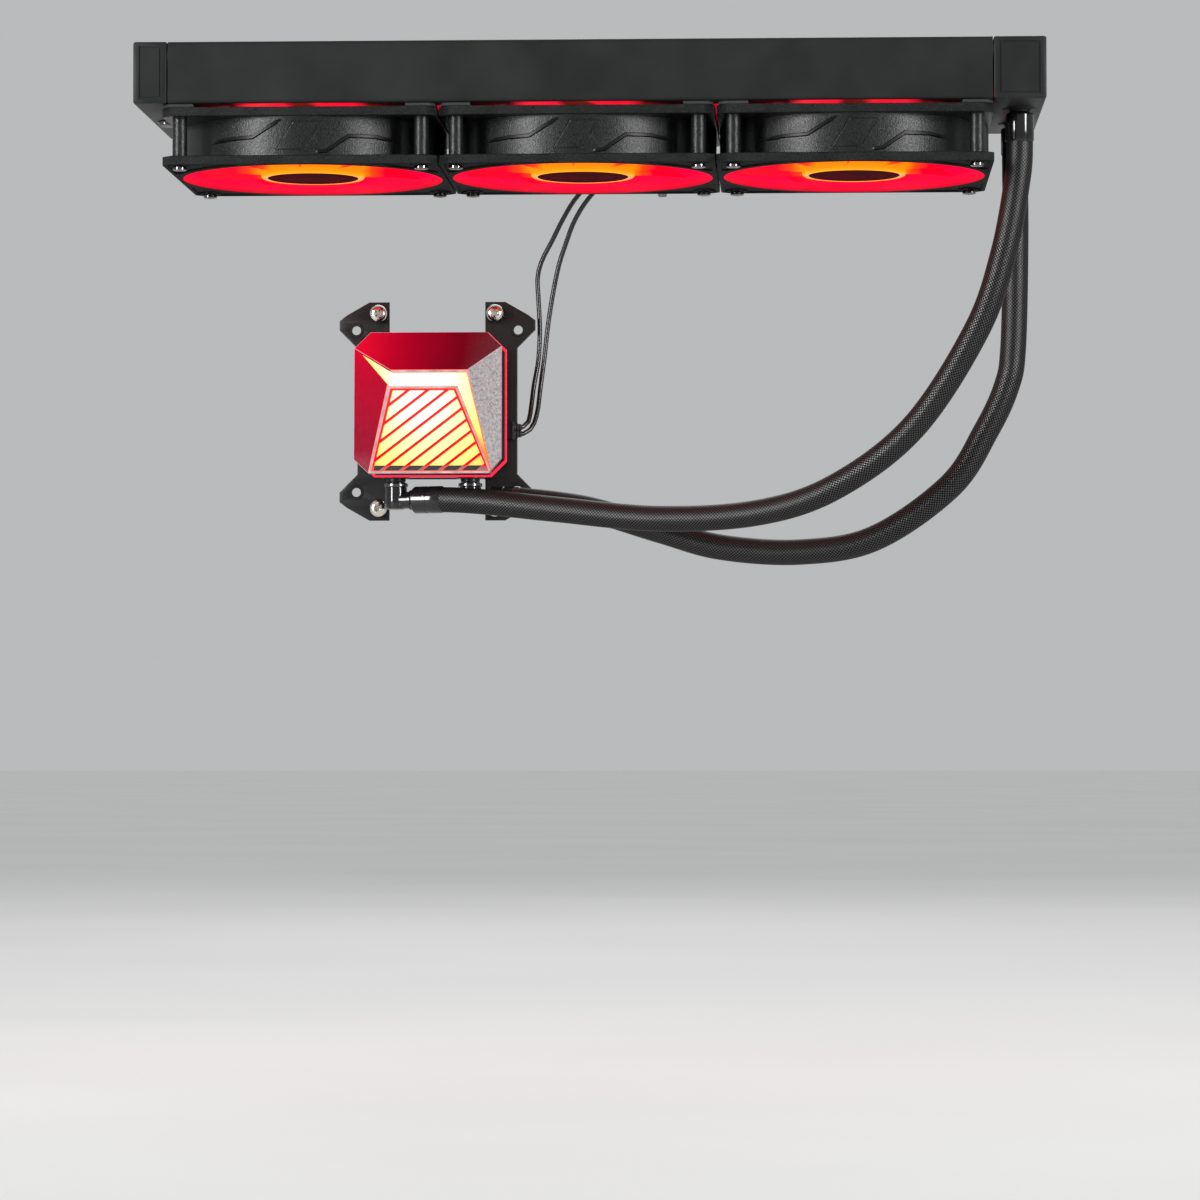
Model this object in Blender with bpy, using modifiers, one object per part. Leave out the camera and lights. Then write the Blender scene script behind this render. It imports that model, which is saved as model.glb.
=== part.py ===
"""Sealed-loop liquid cooler: a 360 mm radiator, three 120 mm fans, two hoses and a square pump head.

Run with: blender --background --python part.py
X runs along the radiator, Y goes back through its width and Z is up. The origin is the middle of
the twelve-screw pattern on the radiator's top plane. Sizes are in metres.
"""
import math

import bmesh
import bpy
from mathutils import Vector

MM = 0.001

# Radiator
RADIATOR_LEFT = -192 * MM        # far end of the plain tank
RADIATOR_RIGHT = 202 * MM        # far end of the tank with the hose ports
RADIATOR_WIDTH = 120 * MM
RADIATOR_THICKNESS = 27 * MM
LEFT_TANK_INNER = -177.2 * MM
RIGHT_TANK_INNER = 179.3 * MM
TANK_WALL = 1.5 * MM
SHEET = 1.2 * MM                 # thickness of the side rails
RAIL_FLANGE = 12 * MM
TUBE_COUNT = 12
TUBE_PITCH = 9.4 * MM
TUBE_WIDTH = 2 * MM
CORE_DEPTH = 16 * MM
HEADER = 3 * MM
FIN_THICKNESS = 0.5 * MM
FIN_FOLD = 30 * MM               # half a fold of the coarse fin zigzag
PORT_X = 192 * MM
PORT_Y = 25 * MM                 # the two ports sit this far either side of the middle
PORT_RADIUS = 4.6 * MM
PORT_DROP = 1.6 * MM

# Fans
FAN_CENTRES = (-120 * MM, 0.0, 120 * MM)
FAN_SIZE = 120 * MM
FAN_HALF = 12.5 * MM             # half of the fan's depth
PAD = 1.5 * MM                   # rubber pads between fan and radiator
FAN_Z = -RADIATOR_THICKNESS - PAD - FAN_HALF
FLANGE = 4 * MM
CORNER_RADIUS = 4.5 * MM
BORE_RADIUS = 57.5 * MM
BARREL_RADIUS = 59.3 * MM
HOLE_SPACING = 105 * MM
SCREW_HOLE = 2.2 * MM
POST_RADIUS = 3.2 * MM
BLADE_COUNT = 9
BLADE_TIP = 56.3 * MM
HUB_RADIUS = 23 * MM
HUB_WALL = 1.5 * MM
SHAFT_RADIUS = 1.5 * MM

# Pump head, in its own frame: x right, y up, z out from the cold plate towards the viewer
PUMP_X = -71.8 * MM
PUMP_Z = -150 * MM
PUMP_BACK = 100 * MM             # Y of the cold plate's contact face
PORT_SPREAD = 17 * MM            # each hose port from the pump's middle
PORT_HEIGHT = 32 * MM            # hose ports above the contact face
ELBOW_DROP = 42.5 * MM           # hose centre line below the pump's middle
FRONT_ELBOW_TURN = math.radians(-20.5)
REAR_ELBOW_TURN = math.radians(-10)
BRACKET_SCREW_X = 27 * MM
BRACKET_SCREW_Y = 45 * MM
CAP_RIM = [(-26.8, 33), (26.8, 33), (34.7, 25.6), (34.7, -25.8),
           (27.8, -32.7), (-27.4, -32.7), (-34.5, -26.2), (-34.5, 25.2)]
CAP_FRONT = [(-17.4, 15.4), (17.4, 15.4), (28.4, -31.4), (-27.6, -31.4)]
LIGHT_BAND = [(-30.6, 22.6), (-17.0, 14.2), (17.0, 14.2), (27.6, -29), (12.9, 8.1), (-18, 8.1)]
WINDOW = [(-17.4, 6.9), (12.1, 6.9), (26.9, -29.8), (-25.9, -29.8)]
SLAT_SLOPE = math.radians(37.5)
SLAT_PITCH = 5.35
SLAT_WIDTH = 1.3

# Hoses and leads
HOSE_RADIUS = 5.8 * MM
FERRULE_RADIUS = 6.2 * MM
TANK_FERRULE = 12.6 * MM
PUMP_FERRULE = 11 * MM
ELBOW_REACH = 9 * MM
HOSE_STEP = 24 * MM
LEAD_RADIUS = 1.1 * MM
LEAD_STEP = 6.4 * MM
GAP = 0.3 * MM                   # between faces that touch

ALONG_X = (math.pi / 2, 0, math.pi / 2)     # local x, y, z become world y, z, x
TOWARDS_VIEWER = (math.pi / 2, 0, 0)        # local x, y, z become world x, z, -y

# Routes in millimetres. The first and last points only set the direction at each end.
FRONT_HOSE_ROUTE = [
    (192, -25, -30), (192, -25, -41.5), (191, -24.6, -57), (184.8, -22.7, -90), (173.2, -18.9, -123),
    (146, -10, -164.5), (112, 1.4, -190), (78, 12.5, -201), (33, 27.3, -203), (-14, 42.6, -198),
    (-50, 54.2, -193.7), (-69.5, 60.8, -192.5), (-88.8, 68, -192.5)]
REAR_HOSE_ROUTE = [
    (192, 25, -30), (192, 25, -41.5), (192.2, 25, -80), (191, 25.2, -127), (188, 25.7, -144.5),
    (179, 27.3, -164), (163, 30, -188.5), (129.5, 35.9, -211.5), (96, 41.7, -217.5), (60, 48, -215),
    (32, 52.8, -207), (-1, 58.6, -197), (-34.5, 64.4, -192.5), (-54.8, 68, -192.5)]
PUMP_LEAD_ROUTE = [
    (-40, 86, -158), (-35.5, 86, -158), (-32.2, 87, -157.8), (-29.4, 89.2, -155), (-28.3, 92, -148),
    (-27.2, 94.5, -138), (-25.2, 96, -126), (-24.6, 96.5, -112), (-25.2, 96.5, -98), (-25.6, 96, -88),
    (-23.5, 95, -80), (-18.5, 92, -71), (-13.5, 87, -62), (-7, 79, -53), (1, 71, -47.5)]
LIGHT_LEAD_ROUTE = [
    (-40, 86, -161), (-35.5, 86, -161), (-31.5, 87, -160.8), (-27.6, 89.2, -157.5), (-25.4, 92, -150),
    (-24.2, 94.5, -139), (-22.3, 96, -124), (-20.8, 96.5, -110), (-18.4, 96, -95), (-15.6, 95, -82),
    (-12.5, 93, -73), (-8.5, 89.5, -63), (-2.5, 84, -54), (4.5, 77, -48.5)]
HANK_LEFT = 14
HANK_RIGHT = 52
HANK_LEVELS = (-50, -35, -20)
HANK_TURN = 7.5
PUMP_LEAD_PLANE = 66
LIGHT_LEAD_PLANE = 72
PLUG_START = 38

CUTTERS = "cutters"


def clear_scene():
    """Remove everything that the file opened with."""
    for thing in list(bpy.data.objects):
        bpy.data.objects.remove(thing, do_unlink=True)
    tools = bpy.data.collections.new(CUTTERS)
    bpy.context.scene.collection.children.link(tools)


def material(name, colour, roughness, metallic=0.0):
    """A Principled material with one flat colour."""
    made = bpy.data.materials.new(name)
    made.use_nodes = True
    shader = made.node_tree.nodes["Principled BSDF"]
    shader.inputs["Base Color"].default_value = (*colour, 1)
    shader.inputs["Roughness"].default_value = roughness
    shader.inputs["Metallic"].default_value = metallic
    return made


def link(thing, parent=None):
    """Put an object in the scene, under its parent when it has one."""
    bpy.context.scene.collection.objects.link(thing)
    thing.parent = parent
    return thing


def empty(name, location, rotation=(0, 0, 0)):
    """An empty that carries a group of parts."""
    carrier = bpy.data.objects.new(name, None)
    carrier.location = location
    carrier.rotation_euler = rotation
    return link(carrier)


def mesh_object(name, bm, finish=None, parent=None):
    """Turn a bmesh into an object with outward faces."""
    bmesh.ops.recalc_face_normals(bm, faces=bm.faces)
    mesh = bpy.data.meshes.new(name)
    bm.to_mesh(mesh)
    bm.free()
    if finish:
        mesh.materials.append(finish)
    return link(bpy.data.objects.new(name, mesh), parent)


def box(name, low, high, finish=None, parent=None):
    """A box between two opposite corners."""
    bm = bmesh.new()
    bmesh.ops.create_cube(bm, size=1)
    low, high = Vector(low), Vector(high)
    bmesh.ops.scale(bm, vec=high - low, verts=bm.verts)
    bmesh.ops.translate(bm, vec=(low + high) / 2, verts=bm.verts)
    return mesh_object(name, bm, finish, parent)


def rod(name, radius, low, high, segments=16, finish=None, parent=None):
    """A round bar between two points that share two of their coordinates or lie anywhere."""
    low, high = Vector(low), Vector(high)
    bm = bmesh.new()
    bmesh.ops.create_cone(bm, cap_ends=True, segments=segments, radius1=radius, radius2=radius,
                          depth=(high - low).length)
    turn = Vector((0, 0, 1)).rotation_difference(high - low).to_matrix()
    bmesh.ops.rotate(bm, matrix=turn, verts=bm.verts)
    bmesh.ops.translate(bm, vec=(low + high) / 2, verts=bm.verts)
    return mesh_object(name, bm, finish, parent)


def turned(name, profile, finish=None, parent=None, steps=24, closed=False):
    """A turned part: a profile of (radius, height) spun about local Z."""
    bm = bmesh.new()
    points = [bm.verts.new((radius, 0, height)) for radius, height in profile]
    for first, second in zip(points, points[1:]):
        bm.edges.new((first, second))
    if closed:
        bm.edges.new((points[-1], points[0]))
    mesh = bpy.data.meshes.new(name)
    bm.to_mesh(mesh)
    bm.free()
    if finish:
        mesh.materials.append(finish)
    part = link(bpy.data.objects.new(name, mesh), parent)
    spin = part.modifiers.new("spin", "SCREW")
    spin.steps = steps
    spin.render_steps = steps
    spin.use_merge_vertices = True
    spin.merge_threshold = 0.00001
    return part


def plate(name, outlines, low, high, finish=None, parent=None):
    """A flat outline, holes included, extruded along local Z from low to high, as a mesh."""
    flat = bpy.data.curves.new(name, "CURVE")
    flat.dimensions = "2D"
    flat.fill_mode = "BOTH"
    flat.resolution_u = 1
    flat.extrude = (high - low) / 2
    for outline in outlines:
        spline = flat.splines.new("POLY")
        spline.points.add(len(outline) - 1)
        spline.use_cyclic_u = True
        for point, (x, y) in zip(spline.points, outline):
            point.co = (x, y, 0, 1)
    shape = bpy.data.objects.new(name + "_outline", flat)
    mesh = bpy.data.meshes.new_from_object(shape)
    bpy.data.objects.remove(shape)
    bm = bmesh.new()
    bm.from_mesh(mesh)
    bpy.data.meshes.remove(mesh)
    bmesh.ops.remove_doubles(bm, verts=bm.verts, dist=0.000001)
    bmesh.ops.translate(bm, vec=(0, 0, (low + high) / 2), verts=bm.verts)
    return mesh_object(name, bm, finish, parent)


def hull(name, points, finish=None, parent=None):
    """The convex solid around a set of points."""
    bm = bmesh.new()
    for point in points:
        bm.verts.new(point)
    found = bmesh.ops.convex_hull(bm, input=bm.verts)
    loose = [item for item in found["geom_interior"] if isinstance(item, bmesh.types.BMVert)]
    bmesh.ops.delete(bm, geom=loose, context="VERTS")
    bmesh.ops.dissolve_limit(bm, angle_limit=math.radians(0.5), verts=bm.verts, edges=bm.edges)
    return mesh_object(name, bm, finish, parent)


def combine(target, tool, operation):
    """Cut a tool out of a part, or join it on, and put the tool away."""
    for holder in list(tool.users_collection):
        holder.objects.unlink(tool)
    bpy.data.collections[CUTTERS].objects.link(tool)
    tool.parent = target.parent
    tool.hide_render = True
    tool.display_type = "WIRE"
    change = target.modifiers.new(tool.name, "BOOLEAN")
    change.solver = "EXACT"
    change.operation = operation
    change.object = tool


def cut(target, tool):
    """Take a tool's shape out of a part."""
    combine(target, tool, "DIFFERENCE")


def join(target, tool):
    """Add a tool's shape to a part."""
    combine(target, tool, "UNION")


def circle(radius, segments, centre=(0, 0)):
    """Points round a circle."""
    return [(centre[0] + radius * math.cos(2 * math.pi * step / segments),
             centre[1] + radius * math.sin(2 * math.pi * step / segments)) for step in range(segments)]


def arc(centre, radius, start, end, steps):
    """Points along an arc, ends included. Angles are in degrees."""
    angles = [math.radians(start + (end - start) * step / steps) for step in range(steps + 1)]
    return [(centre[0] + radius * math.cos(a), centre[1] + radius * math.sin(a)) for a in angles]


def rounded_square(size, radius, steps=3):
    """A square outline with rounded corners."""
    inner = size / 2 - radius
    outline = []
    for x, y, start in ((inner, inner, 0), (-inner, inner, 90), (-inner, -inner, 180), (inner, -inner, 270)):
        outline += arc((x, y), radius, start, start + 90, steps)
    return outline


def chamfered(width, height, corner):
    """A rectangle outline with its corners cut off."""
    x, y = width / 2, height / 2
    return [(x - corner, y), (x, y - corner), (x, corner - y), (x - corner, -y),
            (corner - x, -y), (-x, corner - y), (-x, y - corner), (corner - x, y)]


def scaled(points):
    """Millimetre outline points in metres."""
    return [(x * MM, y * MM) for x, y in points]


def grown(points, amount):
    """An outline around the origin with every corner moved outwards, or inwards when negative."""
    return [(x + amount * math.copysign(1, x), y + amount * math.copysign(1, y)) for x, y in points]


def clipped(outline, normal, limit):
    """The piece of a convex outline whose points satisfy point . normal <= limit."""
    kept = []
    for here, after in zip(outline, outline[1:] + outline[:1]):
        a = here[0] * normal[0] + here[1] * normal[1] - limit
        b = after[0] * normal[0] + after[1] * normal[1] - limit
        if a <= 0:
            kept.append(here)
        if a * b < 0:
            share = a / (a - b)
            kept.append((here[0] + share * (after[0] - here[0]), here[1] + share * (after[1] - here[1])))
    return kept


def smooth(route, step):
    """Evenly spaced points on a smooth curve through a route's inner points."""
    fine = []
    for before, start, end, after in zip(route, route[1:], route[2:], route[3:]):
        before, start, end, after = Vector(before), Vector(start), Vector(end), Vector(after)
        for part in range(24):
            t = part / 24
            fine.append(0.5 * (2 * start + (end - before) * t
                               + (2 * before - 5 * start + 4 * end - after) * t * t
                               + (3 * start - before - 3 * end + after) * t ** 3))
    fine.append(Vector(route[-2]))
    lengths = [0.0]
    for first, second in zip(fine, fine[1:]):
        lengths.append(lengths[-1] + (second - first).length)
    count = max(2, round(lengths[-1] / step))
    points, index = [], 0
    for number in range(count + 1):
        wanted = lengths[-1] * number / count
        while index < len(fine) - 2 and lengths[index + 1] < wanted:
            index += 1
        share = (wanted - lengths[index]) / (lengths[index + 1] - lengths[index])
        points.append(fine[index].lerp(fine[index + 1], share))
    entry = (Vector(route[1]) - Vector(route[0])).normalized() * step / 8
    leaving = (Vector(route[-1]) - Vector(route[-2])).normalized() * step / 8
    return [points[0], points[0] + entry, *points[1:-1], points[-1] - leaving, points[-1]]


def hank(start, plane):
    """A lead's route: the given points, then three flat folds behind the fans."""
    route = list(start)
    low, middle, high = HANK_LEVELS
    route += [(x, plane, low) for x in (HANK_LEFT, HANK_LEFT + 12, HANK_RIGHT - 12, HANK_RIGHT)]
    for degrees in (-45, 0, 45):
        turn = math.radians(degrees)
        route.append((HANK_RIGHT + HANK_TURN * math.cos(turn), plane,
                      (low + middle) / 2 + HANK_TURN * math.sin(turn)))
    route += [(x, plane, middle) for x in (HANK_RIGHT, HANK_RIGHT - 12, HANK_LEFT + 12, HANK_LEFT)]
    for degrees in (225, 180, 135):
        turn = math.radians(degrees)
        route.append((HANK_LEFT + HANK_TURN * math.cos(turn), plane,
                      (middle + high) / 2 + HANK_TURN * math.sin(turn)))
    route += [(x, plane, high) for x in (HANK_LEFT, HANK_LEFT + 10, PLUG_START, PLUG_START + 5)]
    return route


def cord(name, route, step, radius, resolution, finish):
    """A round cord along a route given in millimetres."""
    points = smooth([tuple(value * MM for value in point) for point in route], step)
    line = bpy.data.curves.new(name, "CURVE")
    line.dimensions = "3D"
    line.resolution_u = 1
    line.bevel_depth = radius
    line.bevel_resolution = resolution
    line.use_fill_caps = True
    spline = line.splines.new("POLY")
    spline.points.add(len(points) - 1)
    for knot, point in zip(spline.points, points):
        knot.co = (*point, 1)
    line.materials.append(finish)
    return link(bpy.data.objects.new(name, line))


# Radiator ---------------------------------------------------------------------------------------

def tank(name, left, right, open_side, finish):
    """A pressed tank, open towards the core, with a raised panel pressed into each long side."""
    half = RADIATOR_WIDTH / 2
    shell = box(name, (left, -half, -RADIATOR_THICKNESS), (right, half, 0), finish)
    inner_left = left + TANK_WALL if open_side > 0 else left - TANK_WALL
    inner_right = right + TANK_WALL if open_side > 0 else right - TANK_WALL
    cut(shell, box(name + "_hollow", (inner_left, -half + TANK_WALL, TANK_WALL - RADIATOR_THICKNESS),
                   (inner_right, half - TANK_WALL, -TANK_WALL)))
    edge = shell.modifiers.new("edges", "BEVEL")
    edge.width = 0.4 * MM
    edge.segments = 1
    edge.limit_method = "ANGLE"
    edge.angle_limit = math.radians(60)
    return shell


def ported_tank(finish):
    """The right tank: two ports underneath and a wall between the two halves."""
    shell = tank("right_tank", RIGHT_TANK_INNER, RADIATOR_RIGHT, -1, finish)
    bottom = -RADIATOR_THICKNESS
    join(shell, box("tank_baffle", (RIGHT_TANK_INNER + 3 * MM, -SHEET / 2, bottom + 0.5 * MM),
                    (RADIATOR_RIGHT - 0.5 * MM, SHEET / 2, -0.5 * MM)))
    for side in (-1, 1):
        y = side * PORT_Y
        join(shell, rod(f"port_{side}", PORT_RADIUS, (PORT_X, y, bottom - PORT_DROP), (PORT_X, y, bottom + MM)))
        cut(shell, rod(f"port_bore_{side}", 3 * MM, (PORT_X, y, bottom - 5 * MM),
                       (PORT_X, y, bottom + 3 * MM), 12))
    return shell


def screw_places():
    """Where the screws stand along each rail."""
    reach = HOLE_SPACING / 2
    return [(centre + side * reach) for centre in FAN_CENTRES for side in (-1, 1)]


def side_rail(name, side, finish):
    """A long folded channel with a row of screw holes in each flange."""
    outer = side * RADIATOR_WIDTH / 2
    inner = outer - side * RAIL_FLANGE
    web = outer - side * SHEET
    low, high = -RADIATOR_THICKNESS, 0.0
    outline = [(outer, high), (inner, high), (inner, high - SHEET), (web, high - SHEET),
               (web, low + SHEET), (inner, low + SHEET), (inner, low), (outer, low)]
    rail = plate(name, [outline], LEFT_TANK_INNER + GAP, RIGHT_TANK_INNER - GAP, finish)
    rail.rotation_euler = ALONG_X
    holes = []
    for x in screw_places():
        holes.append(circle(1.75 * MM, 10, (x, side * HOLE_SPACING / 2)))
    cut(rail, plate(name + "_holes", holes, low - MM, high + MM))
    return rail


def radiator_core(finish):
    """Twelve flat tubes between two header plates, with folded fins brazed between the tubes."""
    left, right = LEFT_TANK_INNER + GAP + 0.5 * MM, RIGHT_TANK_INNER - GAP - 0.5 * MM
    reach = (TUBE_COUNT - 1) / 2 * TUBE_PITCH + TUBE_WIDTH / 2
    outlines = [[(left, -reach), (right, -reach), (right, reach), (left, reach)]]
    start = left + HEADER
    folds = 2 * round((right - left - 2 * HEADER) / FIN_FOLD / 2)
    fold = (right - left - 2 * HEADER) / folds
    slant = FIN_THICKNESS * fold / (TUBE_PITCH - TUBE_WIDTH)
    for gap in range(TUBE_COUNT - 1):
        low = -reach + TUBE_WIDTH + gap * TUBE_PITCH
        high = low + TUBE_PITCH - TUBE_WIDTH
        for number in range(folds + 1):
            base, tip = (low, high - FIN_THICKNESS) if number % 2 else (high, low + FIN_THICKNESS)
            middle = start + number * fold
            cell = [(max(start, middle - fold + slant), base),
                    (min(start + folds * fold, middle + fold - slant), base), (middle, tip)]
            outlines.append(cell)
    return plate("radiator_core", outlines, -RADIATOR_THICKNESS / 2 - CORE_DEPTH / 2,
                 -RADIATOR_THICKNESS / 2 + CORE_DEPTH / 2, finish)


def fill_plug(finish):
    """The slotted plug under the left tank."""
    x, top = (RADIATOR_LEFT + LEFT_TANK_INNER) / 2, -RADIATOR_THICKNESS - GAP
    profile = [(0, top), (4.2 * MM, top), (4.2 * MM, top - 1.2 * MM), (3.6 * MM, top - 1.8 * MM),
               (0, top - 1.8 * MM)]
    plug = turned("fill_plug", profile, finish, steps=16)
    plug.location = (x, 0, 0)
    slot = box("fill_plug_slot", (-5 * MM, -0.5 * MM, top - 3 * MM), (5 * MM, 0.5 * MM, top - 1.1 * MM))
    slot.location = plug.location
    cut(plug, slot)
    return plug


def build_radiator():
    """All pieces of the radiator."""
    paint = material("radiator_paint", (0.035, 0.037, 0.04), 0.55, 0.3)
    bare = material("radiator_core_finish", (0.03, 0.031, 0.033), 0.5, 0.5)
    brass = material("plug_finish", (0.05, 0.05, 0.052), 0.4, 0.6)
    tank("left_tank", RADIATOR_LEFT, LEFT_TANK_INNER, 1, paint)
    ported_tank(paint.copy())
    side_rail("front_rail", -1, paint.copy())
    side_rail("rear_rail", 1, paint.copy())
    radiator_core(bare)
    fill_plug(brass)


# Fans -------------------------------------------------------------------------------------------

def barrel_outline():
    """The fan's waist between its flanges: a round barrel with a round-ended lobe at each corner."""
    outline = []
    post = HOLE_SPACING / math.sqrt(2)
    shoulder = math.degrees(math.asin(POST_RADIUS / BARREL_RADIUS))
    for quarter in range(4):
        corner = 45 + 90 * quarter
        centre = (post * math.cos(math.radians(corner)), post * math.sin(math.radians(corner)))
        outline += arc(centre, POST_RADIUS, corner - 90, corner + 90, 6)
        outline += arc((0, 0), BARREL_RADIUS, corner + shoulder, corner + 90 - shoulder, 8)
    return outline


def fan_frame(name, finish, parent):
    """The fan's frame: two square flanges, the barrel, four struts and the bearing tube."""
    reach = HOLE_SPACING / 2
    holes = [circle(SCREW_HOLE, 10, (x, y)) for x in (-reach, reach) for y in (-reach, reach)]
    square = rounded_square(FAN_SIZE - 2 * GAP, CORNER_RADIUS)
    frame = plate(name, [square, circle(BORE_RADIUS, 40), *holes], -FAN_HALF, FAN_HALF, finish, parent)
    around = [(x * 0.55, y * 0.55) for x, y in ((FAN_SIZE, FAN_SIZE), (-FAN_SIZE, FAN_SIZE),
                                                (-FAN_SIZE, -FAN_SIZE), (FAN_SIZE, -FAN_SIZE))]
    waist = FAN_HALF - FLANGE
    cut(frame, plate(name + "_waist", [around, barrel_outline()], -waist, waist, parent=parent))
    spider = plate(name + "_spider", [strut_outline()], FAN_HALF - 2.2 * MM, FAN_HALF - 0.2 * MM, parent=parent)
    join(frame, spider)
    tube = [(5 * MM, FAN_HALF - MM), (5 * MM, -4 * MM), (3.6 * MM, -4 * MM), (3.6 * MM, FAN_HALF - MM)]
    join(frame, turned(name + "_tube", tube, parent=parent, steps=16, closed=True))
    return frame


def strut_outline():
    """The motor plate with its four struts, slightly turned against the corners."""
    outline = []
    half_width = math.degrees(math.asin(2 / 21))
    for arm in range(4):
        angle = 45 + 12 + 90 * arm
        ray = math.radians(angle)
        along, across = Vector((math.cos(ray), math.sin(ray))), Vector((-math.sin(ray), math.cos(ray)))
        for side in (-1, 1):
            tip = along * 58.6 * MM + across * side * 2 * MM
            outline.append((tip.x, tip.y))
        outline += arc((0, 0), 21 * MM, angle + half_width, angle + 90 - half_width, 5)
    return outline


def blade_points(number):
    """One blade as two sheets of points, upper and lower, from hub to tip."""
    stations, chords = 3, 4
    upper, lower = [], []
    for station in range(stations):
        along = station / (stations - 1)
        radius = HUB_RADIUS - 0.8 * MM + along * (BLADE_TIP - HUB_RADIUS + 0.8 * MM)
        middle = math.radians(360 * number / BLADE_COUNT + 16 * along ** 1.4)
        reach = math.radians(17.5 + 2.5 * along)
        rise = (7.6 - 1.6 * along) * MM
        for chord in range(chords):
            across = chord / (chords - 1) * 2 - 1
            angle = middle + across * reach
            height = -2.2 * MM + across * rise + 1.1 * MM * (1 - across * across)
            half = (0.75 - 0.35 * abs(across)) * MM
            place = (radius * math.cos(angle), radius * math.sin(angle))
            upper.append((*place, height + half))
            lower.append((*place, height - half))
    return upper, lower, stations, chords


def add_blade(bm, number):
    """Loft one blade from its sheets of points."""
    upper, lower, stations, chords = blade_points(number)
    top = [bm.verts.new(point) for point in upper]
    bottom = [bm.verts.new(point) for point in lower]
    for station in range(stations - 1):
        for chord in range(chords - 1):
            a = station * chords + chord
            quad = (a, a + 1, a + chords + 1, a + chords)
            bm.faces.new([top[i] for i in quad])
            bm.faces.new([bottom[i] for i in reversed(quad)])
    rim = [*range(chords)]
    rim += [station * chords + chords - 1 for station in range(1, stations)]
    rim += [(stations - 1) * chords + chord for chord in range(chords - 2, -1, -1)]
    rim += [station * chords for station in range(stations - 2, 0, -1)]
    for first, second in zip(rim, rim[1:] + rim[:1]):
        bm.faces.new((top[second], top[first], bottom[first], bottom[second]))


def fan_rotor(name, finish, parent):
    """The translucent hub with its ring of blades."""
    inner = HUB_RADIUS - HUB_WALL
    cup = [(0, -11.9 * MM), (0, -10.4 * MM), (inner, -10.4 * MM), (inner, 6 * MM), (HUB_RADIUS, 6 * MM),
           (HUB_RADIUS, -11 * MM), (HUB_RADIUS - 0.9 * MM, -11.9 * MM)]
    rotor = turned(name, cup, finish, parent, steps=30)
    rotor.data = closed_profile(rotor.data)
    bm = bmesh.new()
    for number in range(BLADE_COUNT):
        add_blade(bm, number)
    join(rotor, mesh_object(name + "_blades", bm, parent=parent))
    return rotor


def closed_profile(mesh):
    """Join a profile's last point to its axis point, so that the spun shape closes."""
    bm = bmesh.new()
    bm.from_mesh(mesh)
    bm.verts.ensure_lookup_table()
    foot = bm.verts.new((0, 0, bm.verts[0].co.z))
    bm.verts.ensure_lookup_table()
    bm.edges.new((bm.verts[-2], foot))
    bmesh.ops.delete(bm, geom=[bm.verts[0]], context="VERTS")
    bm.to_mesh(mesh)
    bm.free()
    return mesh


def fan_motor(number, steel, bronze, copper, parent):
    """The rotor's steel cup with its shaft, the sleeve bearing and the wound stator."""
    wall = HUB_RADIUS - HUB_WALL - GAP
    floor = -10.4 * MM + GAP
    yoke = [(0, 9 * MM), (SHAFT_RADIUS, 9 * MM), (SHAFT_RADIUS, floor + MM), (wall - MM, floor + MM),
            (wall - MM, 5 * MM), (wall, 5 * MM), (wall, floor), (0, floor)]
    turned(f"fan_{number}_yoke", yoke, steel, parent, steps=18)
    sleeve = [(3.3 * MM, 9.5 * MM), (3.3 * MM, -3.8 * MM), (1.85 * MM, -3.8 * MM), (1.85 * MM, 9.5 * MM)]
    turned(f"fan_{number}_bearing", sleeve, bronze, parent, steps=14, closed=True)
    plate(f"fan_{number}_stator", [stator_outline(17 * MM, 9 * MM, 4), circle(5.4 * MM, 16)],
          -6 * MM, 6 * MM, copper, parent)


def stator_outline(radius, waist, poles):
    """A stator stack seen from above: poles with wide shoes round a core."""
    outline = []
    for pole in range(poles):
        angle = 360 / poles * pole
        shoe = 360 / poles * 0.4
        neck = shoe * 0.45
        outline += arc((0, 0), waist, angle - shoe, angle - neck, 1)
        outline += arc((0, 0), radius * 0.82, angle - neck, angle - shoe, 1)
        outline += arc((0, 0), radius, angle - shoe, angle + shoe, 4)
        outline += arc((0, 0), radius * 0.82, angle + shoe, angle + neck, 1)
        outline += arc((0, 0), waist, angle + neck, angle + shoe, 1)
    return outline


def fan_screws(number, finish, parent):
    """Four long screws through the fan's corners into the radiator's rail."""
    reach = HOLE_SPACING / 2
    under, top, tip = -FAN_HALF - GAP, -FAN_HALF - 1.9 * MM, FAN_HALF + 5.5 * MM
    profile = [(0, tip), (1.1 * MM, tip), (1.5 * MM, tip - 0.6 * MM), (1.5 * MM, under), (3 * MM, under),
               (3 * MM, under - 0.6 * MM), (2.1 * MM, top), (0, top)]
    for place, (x, y) in enumerate(((-reach, -reach), (reach, -reach), (reach, reach), (-reach, reach)), 1):
        screw = turned(f"fan_{number}_screw_{place}", profile, finish, parent, steps=10)
        screw.location = (x, y, 0)


def build_fans():
    """Three fans under the radiator."""
    black = material("fan_plastic", (0.045, 0.046, 0.048), 0.5)
    milky = material("blade_plastic", (0.85, 0.8, 0.8), 0.3)
    steel = material("motor_steel", (0.35, 0.35, 0.36), 0.35, 1.0)
    bronze = material("bearing_bronze", (0.45, 0.3, 0.15), 0.4, 1.0)
    copper = material("stator_finish", (0.4, 0.2, 0.1), 0.45, 0.8)
    zinc = material("screw_finish", (0.5, 0.5, 0.5), 0.3, 1.0)
    for number, x in enumerate(FAN_CENTRES, 1):
        centre = empty(f"fan_{number}", (x, 0, FAN_Z))
        fan_frame(f"fan_{number}_frame", black.copy(), centre)
        fan_rotor(f"fan_{number}_rotor", milky.copy(), centre)
        fan_motor(number, steel.copy(), bronze.copy(), copper.copy(), centre)
        fan_screws(number, zinc.copy(), centre)


# Pump head --------------------------------------------------------------------------------------

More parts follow.
